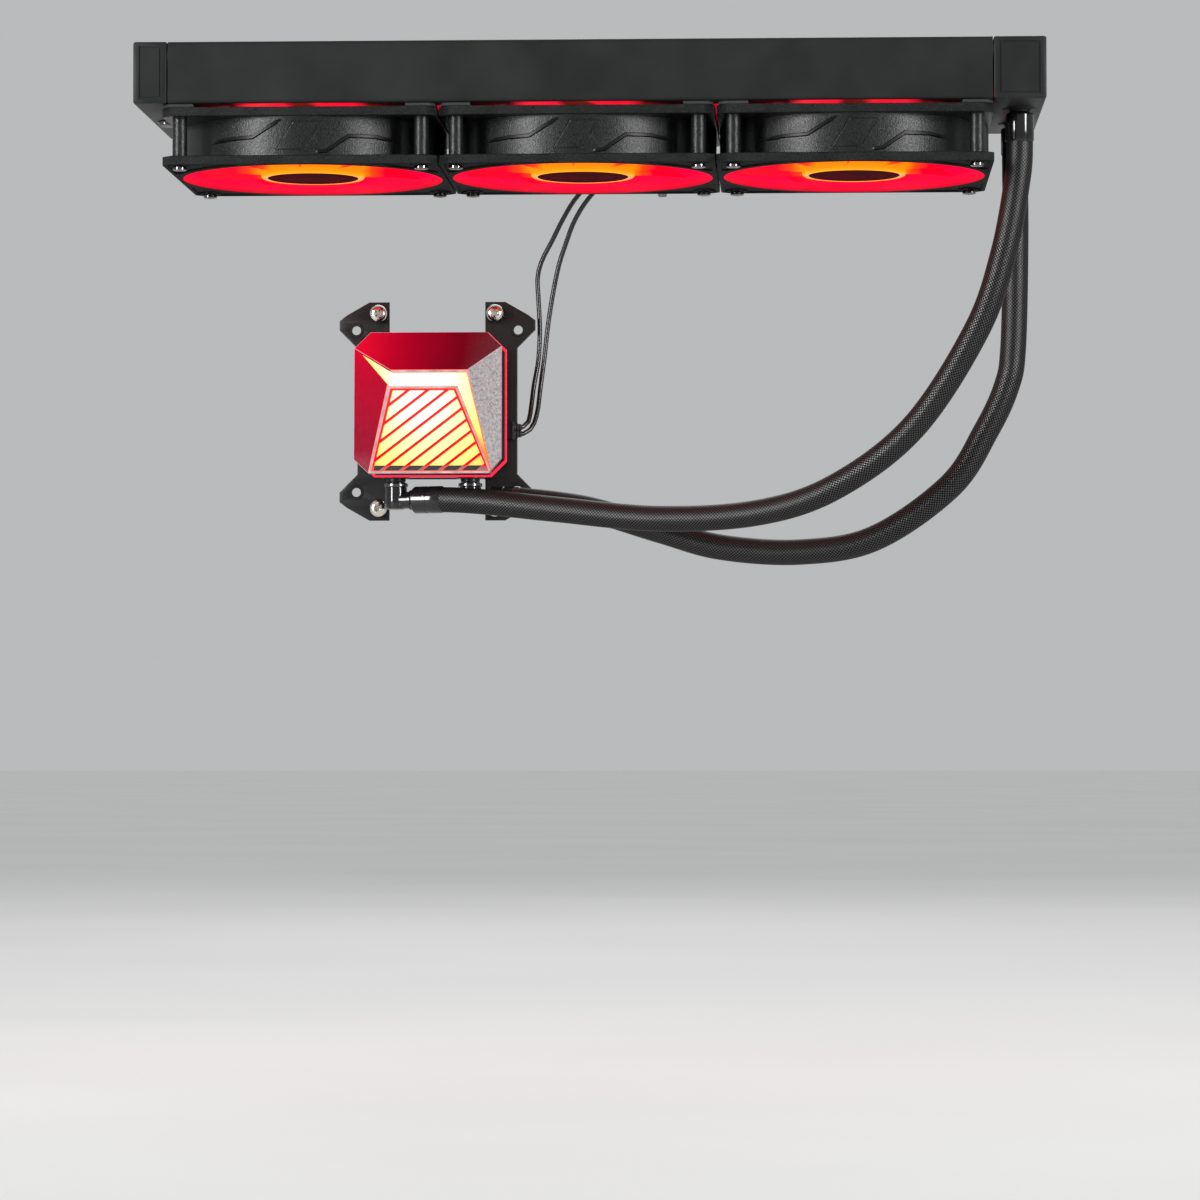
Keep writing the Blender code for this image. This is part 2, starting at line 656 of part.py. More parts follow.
def cap_solid(name, shrink, back, rim, front, finish=None, parent=None):
    """The faceted cap shape, drawn in by shrink, from its back edge to its front plane."""
    outer = grown(scaled(CAP_RIM), -shrink)
    face = grown(scaled(CAP_FRONT), -shrink)
    points = [(x, y, z) for x, y in outer for z in (back, rim)]
    points += [(x, y, front) for x, y in face]
    return hull(name, points, finish, parent)


def slat_gaps():
    """The openings between the slanted slats of the window."""
    normal = (-math.sin(SLAT_SLOPE), math.cos(SLAT_SLOPE))
    window = WINDOW
    gaps = []
    for number in range(-8, 8):
        low = number * SLAT_PITCH + SLAT_WIDTH / 2
        high = (number + 1) * SLAT_PITCH - SLAT_WIDTH / 2
        above = clipped(window, (-normal[0], -normal[1]), -low)
        piece = clipped(above, normal, high) if len(above) > 2 else []
        if len(piece) > 2 and max(x for x, _ in piece) - min(x for x, _ in piece) > 3:
            gaps.append(scaled(piece))
    return gaps


def pump_cap(finish, parent):
    """The thin faceted cap with a light band and a slatted window cut through it."""
    cap = cap_solid("pump_cap", 0, 47.3 * MM, 50 * MM, 57 * MM, finish, parent)
    cut(cap, cap_solid("pump_cap_hollow", 1.6 * MM, 40 * MM, 49.5 * MM, 55.6 * MM, parent=parent))
    cut(cap, plate("pump_cap_openings", [scaled(LIGHT_BAND), *slat_gaps()], 45 * MM, 60 * MM, parent=parent))
    return cap


def pump_housing(finish, parent):
    """The pump's body: a block with a boss behind, two pockets, two port stubs and a lead gland."""
    body = plate("pump_housing", [scaled(chamfered(65, 62, 7))], 9 * MM, 47 * MM, finish, parent)
    join(body, plate("housing_boss", [scaled(chamfered(53, 53, 5))], 4.6 * MM, 10 * MM, parent=parent))
    cut(body, plate("housing_front_pocket", [scaled(chamfered(60, 57, 5))], 37.7 * MM, 48 * MM, parent=parent))
    cut(body, plate("housing_coil_pocket", [scaled(chamfered(52, 49, 5))], 20 * MM, 38 * MM, parent=parent))
    cut(body, rod("housing_impeller_pocket", 15 * MM, (0, 0, 4 * MM), (0, 0, 16 * MM), 28, parent=parent))
    for side in (-1, 1):
        x = side * PORT_SPREAD
        join(body, rod(f"stub_{side}", 4.4 * MM, (x, -34 * MM, PORT_HEIGHT), (x, -30 * MM, PORT_HEIGHT),
                       parent=parent))
        cut(body, rod(f"stub_bore_{side}", 2.6 * MM, (x, -35 * MM, PORT_HEIGHT), (x, -32 * MM, PORT_HEIGHT),
                      12, parent=parent))
    join(body, box("gland", (32 * MM, -13.6 * MM, 11.6 * MM), (36 * MM, -5.4 * MM, 16.4 * MM), parent=parent))
    return body


def pump_insides(steel, copper, green, ceramic, parent):
    """Impeller, its fixed shaft, the stator and the circuit board."""
    disc = [(1.3 * MM, 14.5 * MM), (4 * MM, 14.5 * MM), (4.6 * MM, 13.8 * MM), (13 * MM, 13.6 * MM),
            (13 * MM, 12 * MM), (3.4 * MM, 12 * MM), (3 * MM, 6.2 * MM), (1.3 * MM, 6.2 * MM)]
    impeller = turned("impeller", disc, ceramic, parent, steps=18, closed=True)
    vanes = bmesh.new()
    for number in range(6):
        turn = math.radians(60 * number)
        along = Vector((math.cos(turn), math.sin(turn), 0))
        across = Vector((-math.sin(turn), math.cos(turn), 0))
        middle = along * 7.8 * MM + across * 1.5 * MM + Vector((0, 0, 9.6 * MM))
        made = bmesh.ops.create_cube(vanes, size=1)["verts"]
        bmesh.ops.scale(vanes, vec=(9.4 * MM, 1.1 * MM, 6 * MM), verts=made)
        bmesh.ops.rotate(vanes, matrix=Vector((1, 0, 0)).rotation_difference(along + across * 0.35).to_matrix(),
                         verts=made)
        bmesh.ops.translate(vanes, vec=middle, verts=made)
    join(impeller, mesh_object("impeller_vanes", vanes, parent=parent))
    rod("impeller_shaft", MM, (0, 0, 5 * MM), (0, 0, 15.6 * MM), 12, steel, parent)
    plate("pump_stator", [stator_outline(20 * MM, 11 * MM, 6), circle(6 * MM, 16)], 20.3 * MM, 33 * MM,
          copper, parent)
    plate("pump_board", [scaled(chamfered(58, 55, 5)), circle(3 * MM, 12)], 38 * MM, 39.6 * MM, green, parent)


def cold_plate(copper, rubber, parent):
    """The copper plate that touches the processor, and the square seal behind it."""
    plate("cold_plate", [scaled(chamfered(56, 56, 4))], 0, 3 * MM, copper, parent)
    plate("plate_seal", [scaled(chamfered(51, 51, 4)), scaled(chamfered(45, 45, 4))], 3.3 * MM, 4.3 * MM,
          rubber, parent)


def mounting_bracket(finish, parent):
    """The steel bracket with an ear at each corner, a screw hole and a spare slot in each ear."""
    quarter = [(22.2, 31.5), (22.2, 50.6), (31.5, 50.6), (42, 44.6), (45.4, 42), (45.4, 37.6), (37.1, 29.2)]
    outline = quarter + [(x, -y) for x, y in reversed(quarter)]
    outline += [(-x, -y) for x, y in quarter] + [(-x, y) for x, y in reversed(quarter)]
    holes = [scaled(chamfered(54, 54, 5))]
    for x in (-1, 1):
        for y in (-1, 1):
            holes.append(circle(2.5 * MM, 12, (x * BRACKET_SCREW_X, y * BRACKET_SCREW_Y)))
            holes.append(circle(2.1 * MM, 10, (x * 37.5 * MM, y * 37.5 * MM)))
    return plate("mounting_bracket", [scaled(outline), *holes], 6.5 * MM, 8.5 * MM, finish, parent)


def bracket_screws(finish, parent):
    """Four captive screws that pull the bracket down."""
    profile = [(0, 15 * MM), (2.9 * MM, 15 * MM), (4 * MM, 13.8 * MM), (4 * MM, 12 * MM), (1.8 * MM, 12 * MM),
               (1.8 * MM, -5.4 * MM), (1.3 * MM, -6 * MM), (0, -6 * MM)]
    places = ((-1, 1), (1, 1), (1, -1), (-1, -1))
    for number, (x, y) in enumerate(places, 1):
        screw = turned(f"bracket_screw_{number}", profile, finish, parent, steps=14)
        screw.location = (x * BRACKET_SCREW_X, y * BRACKET_SCREW_Y, 0)


def build_pump():
    """The pump head with its bracket."""
    grey = material("cap_finish", (0.09, 0.09, 0.095), 0.35, 0.6)
    black = material("housing_plastic", (0.02, 0.02, 0.021), 0.4)
    clear = material("light_guide_plastic", (0.9, 0.5, 0.4), 0.25)
    copper = material("copper_finish", (0.7, 0.35, 0.2), 0.25, 1.0)
    coil = material("pump_coil_finish", (0.45, 0.22, 0.1), 0.45, 0.8)
    rubber = material("seal_rubber", (0.02, 0.02, 0.02), 0.8)
    steel = material("shaft_steel", (0.6, 0.6, 0.6), 0.25, 1.0)
    green = material("board_finish", (0.03, 0.12, 0.06), 0.5)
    ceramic = material("impeller_plastic", (0.7, 0.7, 0.68), 0.45)
    painted = material("bracket_paint", (0.025, 0.025, 0.026), 0.4, 0.5)
    nickel = material("bracket_screw_finish", (0.6, 0.58, 0.55), 0.2, 1.0)
    head = empty("pump_head", (PUMP_X, PUMP_BACK, PUMP_Z), TOWARDS_VIEWER)
    cold_plate(copper, rubber, head)
    pump_housing(black, head)
    pump_insides(steel, coil, green, ceramic, head)
    cap_solid("light_guide", 1.9 * MM, 47.3 * MM, 49.3 * MM, 55.2 * MM, clear, head)
    pump_cap(grey, head)
    mounting_bracket(painted, head)
    bracket_screws(nickel, head)


# Hoses and leads --------------------------------------------------------------------------------

def elbow(name, x, turn, finish):
    """A right-angle swivel under the pump: down from its port, then sideways to the hose."""
    y, level = PUMP_BACK - PORT_HEIGHT, PUMP_Z - ELBOW_DROP
    top = PUMP_Z - 34 * MM - GAP
    body = rod(name, 5 * MM, (x, y, level - 4.2 * MM), (x, y, top), 20, finish)
    reach = Vector((math.cos(turn), math.sin(turn), 0)) * ELBOW_REACH
    centre = Vector((x, y, level))
    join(body, rod(name + "_arm", 3.9 * MM, centre, centre + reach, 16))
    return body


def ferrule(name, start, direction, length, finish):
    """The crimped sleeve at a hose's end."""
    start, direction = Vector(start), Vector(direction)
    edge = 0.5 * MM
    profile = [(0, length), (FERRULE_RADIUS - edge, length), (FERRULE_RADIUS, length - edge),
               (FERRULE_RADIUS, edge), (FERRULE_RADIUS - edge, 0), (0, 0)]
    sleeve = turned(name, profile, finish, steps=20)
    sleeve.location = start
    sleeve.rotation_euler = Vector((0, 0, 1)).rotation_difference(direction).to_euler()
    return sleeve


def build_hoses():
    """Two braided hoses with their sleeves and elbows."""
    braid = material("braid_finish", (0.03, 0.03, 0.032), 0.45)
    gloss = material("ferrule_finish", (0.015, 0.015, 0.016), 0.12, 0.3)
    black = material("elbow_plastic", (0.02, 0.02, 0.021), 0.3)
    top = -RADIATOR_THICKNESS - PORT_DROP - GAP
    level = PUMP_Z - ELBOW_DROP
    ends = (("front", -1, FRONT_ELBOW_TURN, FRONT_HOSE_ROUTE), ("rear", 1, REAR_ELBOW_TURN, REAR_HOSE_ROUTE))
    for name, side, turn, route in ends:
        ferrule(f"{name}_hose_tank_ferrule", (PORT_X, side * PORT_Y, top), (0, 0, -1), TANK_FERRULE,
                gloss.copy())
        x, y = PUMP_X + side * PORT_SPREAD, PUMP_BACK - PORT_HEIGHT
        direction = Vector((math.cos(turn), math.sin(turn), 0))
        start = Vector((x, y, level)) + direction * (ELBOW_REACH + GAP)
        elbow(f"{name}_elbow", x, turn, black.copy())
        ferrule(f"{name}_hose_pump_ferrule", start, direction, PUMP_FERRULE, gloss.copy())
        cord(f"{name}_hose", route, HOSE_STEP, HOSE_RADIUS, 3, braid.copy())


def plug(name, plane, finish):
    """The small connector at a lead's end."""
    start, y, level = PLUG_START * MM + GAP, plane * MM, HANK_LEVELS[2] * MM
    body = box(name, (start, y - 2.7 * MM, level - 5 * MM), (start + 11 * MM, y + 2.7 * MM, level + 5 * MM), finish)
    for offset in (-2.6, 0, 2.6):
        low = Vector((start + 5 * MM, y - 0.6 * MM, level + (offset - 0.6) * MM))
        cut(body, box(f"{name}_socket_{offset}", low, low + Vector((8, 1.2, 1.2)) * MM))
    return body


def lead_tie(finish):
    """The clip on the back of the middle fan that holds both folded leads."""
    low = Vector((31 * MM, RADIATOR_WIDTH / 2 + GAP, (HANK_LEVELS[0] - 3.2) * MM))
    high = Vector((35, LIGHT_LEAD_PLANE + 3.4, HANK_LEVELS[2] + 3.2)) * MM
    clip = box("lead_tie", low, high, finish)
    cut(clip, box("lead_tie_hole", low + Vector((-1, 3, 0.8)) * MM, high + Vector((1, -0.8, -0.8)) * MM))
    return clip


def build_leads():
    """The pump's two thin leads with their plugs and clip."""
    rubber = material("lead_finish", (0.015, 0.015, 0.016), 0.35)
    nylon = material("plug_plastic", (0.02, 0.02, 0.021), 0.45)
    clip = material("tie_finish", (0.03, 0.03, 0.03), 0.5)
    cord("pump_lead", hank(PUMP_LEAD_ROUTE, PUMP_LEAD_PLANE), LEAD_STEP, LEAD_RADIUS, 2, rubber)
    cord("light_lead", hank(LIGHT_LEAD_ROUTE, LIGHT_LEAD_PLANE), LEAD_STEP, LEAD_RADIUS, 2, rubber.copy())
    plug("pump_plug", PUMP_LEAD_PLANE, nylon)
    plug("light_plug", LIGHT_LEAD_PLANE, nylon.copy())
    lead_tie(clip)


clear_scene()
build_radiator()
build_fans()
build_pump()
build_hoses()
build_leads()
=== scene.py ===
"""Looks of the sealed-loop liquid cooler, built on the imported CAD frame. +Z up.

Shapes and texture sizes are written in millimetres, and the mesh tools turn them into metres. The
camera, the lamps and the cords' routes are written in metres.
"""
import math

import bmesh
import bpy
from mathutils import Matrix, Vector


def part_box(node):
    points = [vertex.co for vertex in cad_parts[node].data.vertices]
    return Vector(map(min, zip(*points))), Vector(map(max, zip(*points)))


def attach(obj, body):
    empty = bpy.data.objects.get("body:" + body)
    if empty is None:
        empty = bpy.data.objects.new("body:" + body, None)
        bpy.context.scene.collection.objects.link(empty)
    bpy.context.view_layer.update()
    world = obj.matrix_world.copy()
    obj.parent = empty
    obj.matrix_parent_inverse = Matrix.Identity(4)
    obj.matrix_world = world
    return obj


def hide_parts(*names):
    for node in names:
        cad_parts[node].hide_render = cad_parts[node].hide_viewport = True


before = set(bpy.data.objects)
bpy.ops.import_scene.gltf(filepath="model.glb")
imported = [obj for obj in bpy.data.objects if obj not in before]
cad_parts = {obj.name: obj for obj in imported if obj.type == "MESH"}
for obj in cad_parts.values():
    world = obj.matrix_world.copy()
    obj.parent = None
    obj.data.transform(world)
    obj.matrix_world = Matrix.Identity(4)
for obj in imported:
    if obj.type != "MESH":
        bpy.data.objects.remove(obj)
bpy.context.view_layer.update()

MM = 0.001
ROOT = "cooler"
WELD = 0.000002
CURVE_PARTS = 24

# Places and sizes read from the frame --------------------------------------------------------------


def corners(node):
    """The low and high corner of a CAD node's box, in millimetres."""
    return [Vector(corner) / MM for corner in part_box(node)]


def middle(node):
    """The centre of a CAD node's box, in millimetres."""
    low, high = corners(node)
    return (low + high) / 2


FAN_NUMBERS = (1, 2, 3)
FAN_CENTRES = {number: middle(f"fan_{number}_frame") for number in FAN_NUMBERS}
FAN_LOW, FAN_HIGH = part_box("fan_1_frame")
FAN_SIZE = (FAN_HIGH[0] - FAN_LOW[0]) / MM
FAN_HALF = (FAN_HIGH[2] - FAN_LOW[2]) / 2 / MM
SCREW_REACH = (middle("fan_1_screw_2") - FAN_CENTRES[1]).x
CORE_LOW, CORE_HIGH = corners("radiator_core")
RADIATOR_BOTTOM = corners("front_rail")[0].z
PUMP = Vector((middle("cold_plate").x, corners("cold_plate")[1].y, middle("cold_plate").z))
CORNER_SIGNS = [(x, y) for x in (-1, 1) for y in (-1, 1)]
FAN_HOLES = [(x * SCREW_REACH, y * SCREW_REACH) for x, y in CORNER_SIGNS]


def metres(point):
    """A point in metres, from one in millimetres."""
    return Vector([value * MM for value in point])


def shift(x, y, z=0.0):
    """A move by millimetres."""
    return Matrix.Translation(metres((x, y, z)))


def turned(degrees, axis):
    """A turn about an axis."""
    return Matrix.Rotation(math.radians(degrees), 4, axis)


PUMP_FRAME = shift(*PUMP) @ turned(90, "X")


# Mesh tools ----------------------------------------------------------------------------------------

def link(thing):
    """Put an object in the scene."""
    bpy.context.scene.collection.objects.link(thing)
    return thing


def finish_mesh(name, bm, material, smooth_angle=35, extra=()):
    """Make a smooth-shaded object from a bmesh, with sharp edges where faces turn steeply."""
    bmesh.ops.recalc_face_normals(bm, faces=bm.faces)
    limit = math.radians(smooth_angle)
    for face in bm.faces:
        face.smooth = True
    for edge in bm.edges:
        edge.smooth = len(edge.link_faces) == 2 and edge.calc_face_angle(0) < limit
    mesh = bpy.data.meshes.new(name)
    bm.to_mesh(mesh)
    bm.free()
    for finish in (material, *extra):
        mesh.materials.append(finish)
    return link(bpy.data.objects.new(name, mesh))


def place(piece, body, node=None):
    """Ride a piece on its body and hide the CAD node it stands for, if one is given."""
    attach(piece, body)
    if node:
        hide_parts(node)
    return piece


def add_piece(name, bm, material, node, angle=35, extra=()):
    """A finished piece on the root body."""
    return place(finish_mesh(name, bm, material, angle, extra), ROOT, node)


def flat_mesh(outlines, low, high, edge=0.0):
    """A bmesh of a flat outline with holes, from low to high along Z, with rounded edges."""
    flat = bpy.data.curves.new("outline", "CURVE")
    flat.dimensions, flat.fill_mode, flat.resolution_u = "2D", "BOTH", 1
    flat.extrude = ((high - low) / 2 - edge) * MM
    flat.bevel_depth, flat.bevel_resolution, flat.offset = edge * MM, 2, -edge * MM
    for outline in outlines:
        spline = flat.splines.new("POLY")
        spline.points.add(len(outline) - 1)
        spline.use_cyclic_u = True
        for point, (x, y) in zip(spline.points, outline):
            point.co = (x * MM, y * MM, 0, 1)
    shape = bpy.data.objects.new("outline", flat)
    mesh = bpy.data.meshes.new_from_object(shape)
    bpy.data.objects.remove(shape)
    bm = bmesh.new()
    bm.from_mesh(mesh)
    bpy.data.meshes.remove(mesh)
    bmesh.ops.remove_doubles(bm, verts=bm.verts, dist=WELD)
    return moved(bm, shift(0, 0, (low + high) / 2))


def spun_mesh(profile, steps=48):
    """A bmesh of a profile of (radius, height) spun about Z. Off the axis, its ends are joined."""
    bm = bmesh.new()
    turns = [2 * math.pi * step / steps for step in range(steps)]
    rings = []
    for radius, height in profile:
        out, up = radius * MM, height * MM
        rings.append([bm.verts.new((out * math.cos(turn), out * math.sin(turn), up))
                      for turn in (turns if radius else turns[:1])])
    pairs = list(zip(rings, rings[1:]))
    if len(rings[0]) > 1:
        pairs.append((rings[-1], rings[0]))
    for first, second in pairs:
        for s in range(steps):
            ring = [first[s % len(first)], first[(s + 1) % len(first)],
                    second[(s + 1) % len(second)], second[s % len(second)]]
            unique = list(dict.fromkeys(ring))
            if len(unique) > 2:
                bm.faces.new(unique)
    return bm


def tube_mesh(points, radius, around, rise=0.0):
    """A capped tube along points in metres. A rise lifts every other vertex, like the beads of a weave.

    Its UVs run round from 0 to 1 and along in metres.
    """
    bm = bmesh.new()
    layer = bm.loops.layers.uv.new("weave")
    side = (points[1] - points[0]).normalized().orthogonal().normalized()
    rings, along = [], [0.0]
    for index, point in enumerate(points):
        tangent = (points[min(index + 1, len(points) - 1)] - points[max(index - 1, 0)]).normalized()
        side = (side - tangent * side.dot(tangent)).normalized()
        other = tangent.cross(side)
        ring = []
        for s in range(around):
            turn = 2 * math.pi * s / around
            spoke = side * math.cos(turn) + other * math.sin(turn)
            height = rise if (index + s) % 2 else 0.0
            ring.append(bm.verts.new(point + spoke * (radius - rise + height) * MM))
        rings.append(ring)
        if index:
            along.append(along[-1] + (point - points[index - 1]).length)
    for index, (first, second) in enumerate(zip(rings, rings[1:])):
        for s in range(around):
            face = bm.faces.new((first[s], first[(s + 1) % around], second[(s + 1) % around], second[s]))
            for loop, u, v in zip(face.loops, (s, s + 1, s + 1, s), (index, index, index + 1, index + 1)):
                loop[layer].uv = (u / around, along[v])
    bm.faces.new(rings[0])
    bm.faces.new(rings[-1])
    return bm


def lofted(rings):
    """A solid between rings of points, capped at both ends."""
    bm = bmesh.new()
    rings = [[bm.verts.new(metres(point)) for point in ring] for ring in rings]
    for first, second in zip(rings, rings[1:]):
        for side in range(len(first)):
            after = (side + 1) % len(first)
            bm.faces.new((first[side], first[after], second[after], second[side]))
    bm.faces.new(rings[0])
    bm.faces.new(rings[-1])
    bmesh.ops.recalc_face_normals(bm, faces=bm.faces)
    return bm


def hull_mesh(points, unit=MM):
    """The convex solid round a set of points."""
    bm = bmesh.new()
    for point in points:
        bm.verts.new([value * unit for value in point])
    found = bmesh.ops.convex_hull(bm, input=bm.verts)
    loose = [item for item in found["geom_interior"] if isinstance(item, bmesh.types.BMVert)]
    bmesh.ops.delete(bm, geom=loose, context="VERTS")
    bmesh.ops.dissolve_limit(bm, angle_limit=math.radians(0.5), verts=bm.verts, edges=bm.edges)
    return bm


def merged(*meshes):
    """Join several bmeshes into the first one."""
    first = meshes[0]
    for other in meshes[1:]:
        carrier = bpy.data.meshes.new("carrier")
        other.to_mesh(carrier)
        other.free()
        first.from_mesh(carrier)
        bpy.data.meshes.remove(carrier)
    return first


def moved(bm, matrix):
    """Move a bmesh by a matrix."""
    bmesh.ops.transform(bm, matrix=matrix, verts=bm.verts)
    return bm


def bar_mesh(low, high, edge=0.0):
    """A bmesh box between two corners, with bevelled edges."""
    bm = bmesh.new()
    bmesh.ops.create_cube(bm, size=1)
    low, high = metres(low), metres(high)
    bmesh.ops.scale(bm, vec=high - low, verts=bm.verts)
    bmesh.ops.translate(bm, vec=(low + high) / 2, verts=bm.verts)
    if edge:
        bmesh.ops.bevel(bm, geom=bm.edges, offset=edge * MM, segments=2, profile=0.5, affect="EDGES")
    return bm


def applied(target, *steps):
    """Apply Boolean steps of (operation, bmesh) to a bmesh and return the result."""
    base = finish_mesh("base", target, None)
    tools = []
    for operation, bm in steps:
        tool = finish_mesh("tool", bm, None)
        change = base.modifiers.new("step", "BOOLEAN")
        change.solver = "EXACT"
        change.operation = operation
        change.object = tool
        tools.append(tool)
    graph = bpy.context.evaluated_depsgraph_get()
    result = bmesh.new()
    result.from_mesh(base.evaluated_get(graph).to_mesh())
    for thing in (base, *tools):
        bpy.data.objects.remove(thing)
    return result


def cut(target, *cutters):
    """Take cutters away from a bmesh."""
    return applied(target, *[("DIFFERENCE", cutter) for cutter in cutters])


# Outlines ------------------------------------------------------------------------------------------

def circle(radius, segments=48, centre=(0, 0)):
    """Points round a circle."""
    return arc(centre, radius, 0, 360, segments)[:-1]


def arc(centre, radius, start, end, steps):
    """Points along an arc, ends included. Angles are in degrees."""
    angles = [math.radians(start + (end - start) * step / steps) for step in range(steps + 1)]
    return [(centre[0] + radius * math.cos(a), centre[1] + radius * math.sin(a)) for a in angles]


def chamfered(width, height, corner):
    """A rectangle outline with its corners cut off."""
    x, y = width / 2, height / 2
    return [(x - corner, y), (x, y - corner), (x, corner - y), (x - corner, -y),
            (corner - x, -y), (-x, corner - y), (-x, y - corner), (corner - x, y)]


def grown(points, amount):
    """An outline around the origin with every corner moved outwards, or inwards when negative."""
    return [(x + amount * math.copysign(1, x), y + amount * math.copysign(1, y)) for x, y in points]


def clipped(outline, normal, limit):
    """The piece of a convex outline whose points satisfy point . normal <= limit."""
    kept = []
    for here, after in zip(outline, outline[1:] + outline[:1]):
        a = here[0] * normal[0] + here[1] * normal[1] - limit
        b = after[0] * normal[0] + after[1] * normal[1] - limit
        if a <= 0:
            kept.append(here)
        if a * b < 0:
            share = a / (a - b)
            kept.append((here[0] + share * (after[0] - here[0]), here[1] + share * (after[1] - here[1])))
    return kept


def run_of(line):
    """The unit directions along a line of 2-D points."""
    return [(Vector(line[min(index + 1, len(line) - 1)]) - Vector(line[max(index - 1, 0)])).normalized()
            for index in range(len(line))]


def smooth_route(route, step):
    """Evenly spaced points, in metres, on a smooth curve through a route's inner points."""
    fine = []
    for before, start, end, after in zip(route, route[1:], route[2:], route[3:]):
        before, start, end, after = Vector(before), Vector(start), Vector(end), Vector(after)
        for part in range(CURVE_PARTS):
            t = part / CURVE_PARTS
            fine.append(0.5 * (2 * start + (end - before) * t
                               + (2 * before - 5 * start + 4 * end - after) * t * t
                               + (3 * start - before - 3 * end + after) * t ** 3))
    fine.append(Vector(route[-2]))
    lengths = [0.0]
    for first, second in zip(fine, fine[1:]):
        lengths.append(lengths[-1] + (second - first).length)
    count = round(lengths[-1] / step)
    points, index = [], 0
    for number in range(count + 1):
        wanted = lengths[-1] * number / count
        while index < len(fine) - 2 and lengths[index + 1] < wanted:
            index += 1
        share = (wanted - lengths[index]) / (lengths[index + 1] - lengths[index])
        points.append(fine[index].lerp(fine[index + 1], share))
    return points


def length_of(points):
    """The length of a run of points."""
    return sum((second - first).length for first, second in zip(points, points[1:]))


# Materials -----------------------------------------------------------------------------------------

class Finish:
    """A Principled material under construction. Texture sizes and relief depths are in millimetres."""

    def __init__(self, name, colour, roughness, metallic=0.0, specular=0.5):
        self.material = bpy.data.materials.new(name)
        self.material.use_nodes = True
        self.nodes = self.material.node_tree.nodes
        self.links = self.material.node_tree.links
        self.shader = self.nodes["Principled BSDF"]
        self.colour = colour
        self.roughness = roughness
        self.normal = None
        self.where = self.nodes.new("ShaderNodeTexCoord").outputs["Object"]
        for socket, value in (("Base Color", (*colour, 1)), ("Roughness", roughness), ("Metallic", metallic),
                              ("Specular IOR Level", specular)):
            self.shader.inputs[socket].default_value = value

    def drive(self, socket, value):
        """Join a value to one of the shader's sockets."""
        self.links.new(value, self.shader.inputs[socket])

    def placed(self, **settings):
        """The object's own coordinates, moved and scaled."""
        shape = self.nodes.new("ShaderNodeMapping")
        for name, value in settings.items():
            shape.inputs[name].default_value = value
        self.links.new(self.where, shape.inputs["Vector"])
        return shape.outputs["Vector"]

    def axes(self, source=None):
        """The X, Y and Z of the object's own coordinates, or of another vector."""
        split = self.nodes.new("ShaderNodeSeparateXYZ")
        self.links.new(source or self.where, split.inputs["Vector"])
        return split.outputs[0], split.outputs[1], split.outputs[2]

    def across(self, along_x, along_y):
        """A value that rises across the object's own X and Y by so much a metre."""
        x, y, _ = self.axes()
        return self.math("MULTIPLY_ADD", x, along_x, self.math("MULTIPLY", y, along_y))

    def noise(self, size, detail=3.0, stretch=None):
        """Noise with features about size across, stretched along an axis if asked."""
        node = self.nodes.new("ShaderNodeTexNoise")
        node.inputs["Scale"].default_value = 1 / (size * MM)
        node.inputs["Detail"].default_value = detail
        self.links.new(self.placed(Scale=stretch) if stretch else self.where, node.inputs["Vector"])
        return node.outputs["Fac"]

    def math(self, operation, first, second=0.0, third=0.0):
        """A Math node of sockets or numbers."""
        node = self.nodes.new("ShaderNodeMath")
        node.operation = operation
        for socket, value in zip(node.inputs, (first, second, third)):
            if isinstance(value, (int, float)):
                socket.default_value = value
            else:
                self.links.new(value, socket)
        return node.outputs[0]

    def wave(self, value, times):
        """The absolute sine of a value, with a zero at every 1 / times."""
        return self.math("ABSOLUTE", self.math("SINE", self.math("MULTIPLY", value, math.pi * times)))

    def ramp(self, value, *stops):
        """A colour ramp over a value, from (position, colour) stops."""
        node = self.nodes.new("ShaderNodeValToRGB")
        elements = node.color_ramp.elements
        for element, (position, colour) in zip(elements, (stops[0], stops[-1])):
            element.position = position
            element.color = (*colour, 1)
        for position, colour in stops[1:-1]:
            element = elements.new(position)
            element.color = (*colour, 1)
        self.links.new(value, node.inputs["Fac"])
        return node.outputs["Color"]

    def vary(self, fac, colour=0.0, roughness=0.0):
        """Let the base colour drift darker and lighter, and the roughness up and down, with a value."""
        if colour:
            dark = tuple(max(part * (1 - colour), 0) for part in self.colour)
            light = tuple(min(part * (1 + colour) + 0.002, 1) for part in self.colour)
            self.drive("Base Color", self.ramp(fac, (0.35, dark), (0.65, light)))
        if roughness:
            low, high = max(self.roughness - roughness, 0.02), min(self.roughness + roughness, 1)
            self.drive("Roughness", self.math("MULTIPLY_ADD", fac, high - low, low))
        return self

    def bump(self, height, depth, strength=1.0):
        """Add a layer of relief and return the material."""
        node = self.nodes.new("ShaderNodeBump")
        node.inputs["Strength"].default_value = strength
        node.inputs["Distance"].default_value = depth * MM
        self.links.new(height, node.inputs["Height"])
        if self.normal:
            self.links.new(self.normal, node.inputs["Normal"])
        self.normal = node.outputs["Normal"]
        self.drive("Normal", self.normal)
        return self.material

    def glow(self, strength, value, *stops):
        """Make the surface shine with the colours of a ramp over a value."""
        self.drive("Emission Color", self.ramp(value, *stops))
        self.shader.inputs["Emission Strength"].default_value = strength


def moulded_plastic(name, colour, roughness, grain=0.5, depth=0.03, specular=0.5, speckle=0.1):
    """Plastic with a fine spark-eroded grain, speckled where the grain is bright, and slight smudging."""
    finish = Finish(name, colour, roughness, specular=specular)
    grit = finish.noise(grain, 2)
    patchy = finish.math("MULTIPLY_ADD", finish.noise(14, 4), 0.3, finish.math("MULTIPLY", grit, 0.7))
    finish.vary(patchy, 0.15 + speckle, 0.08 + speckle * 0.16)
    return finish.bump(grit, depth, 0.7)


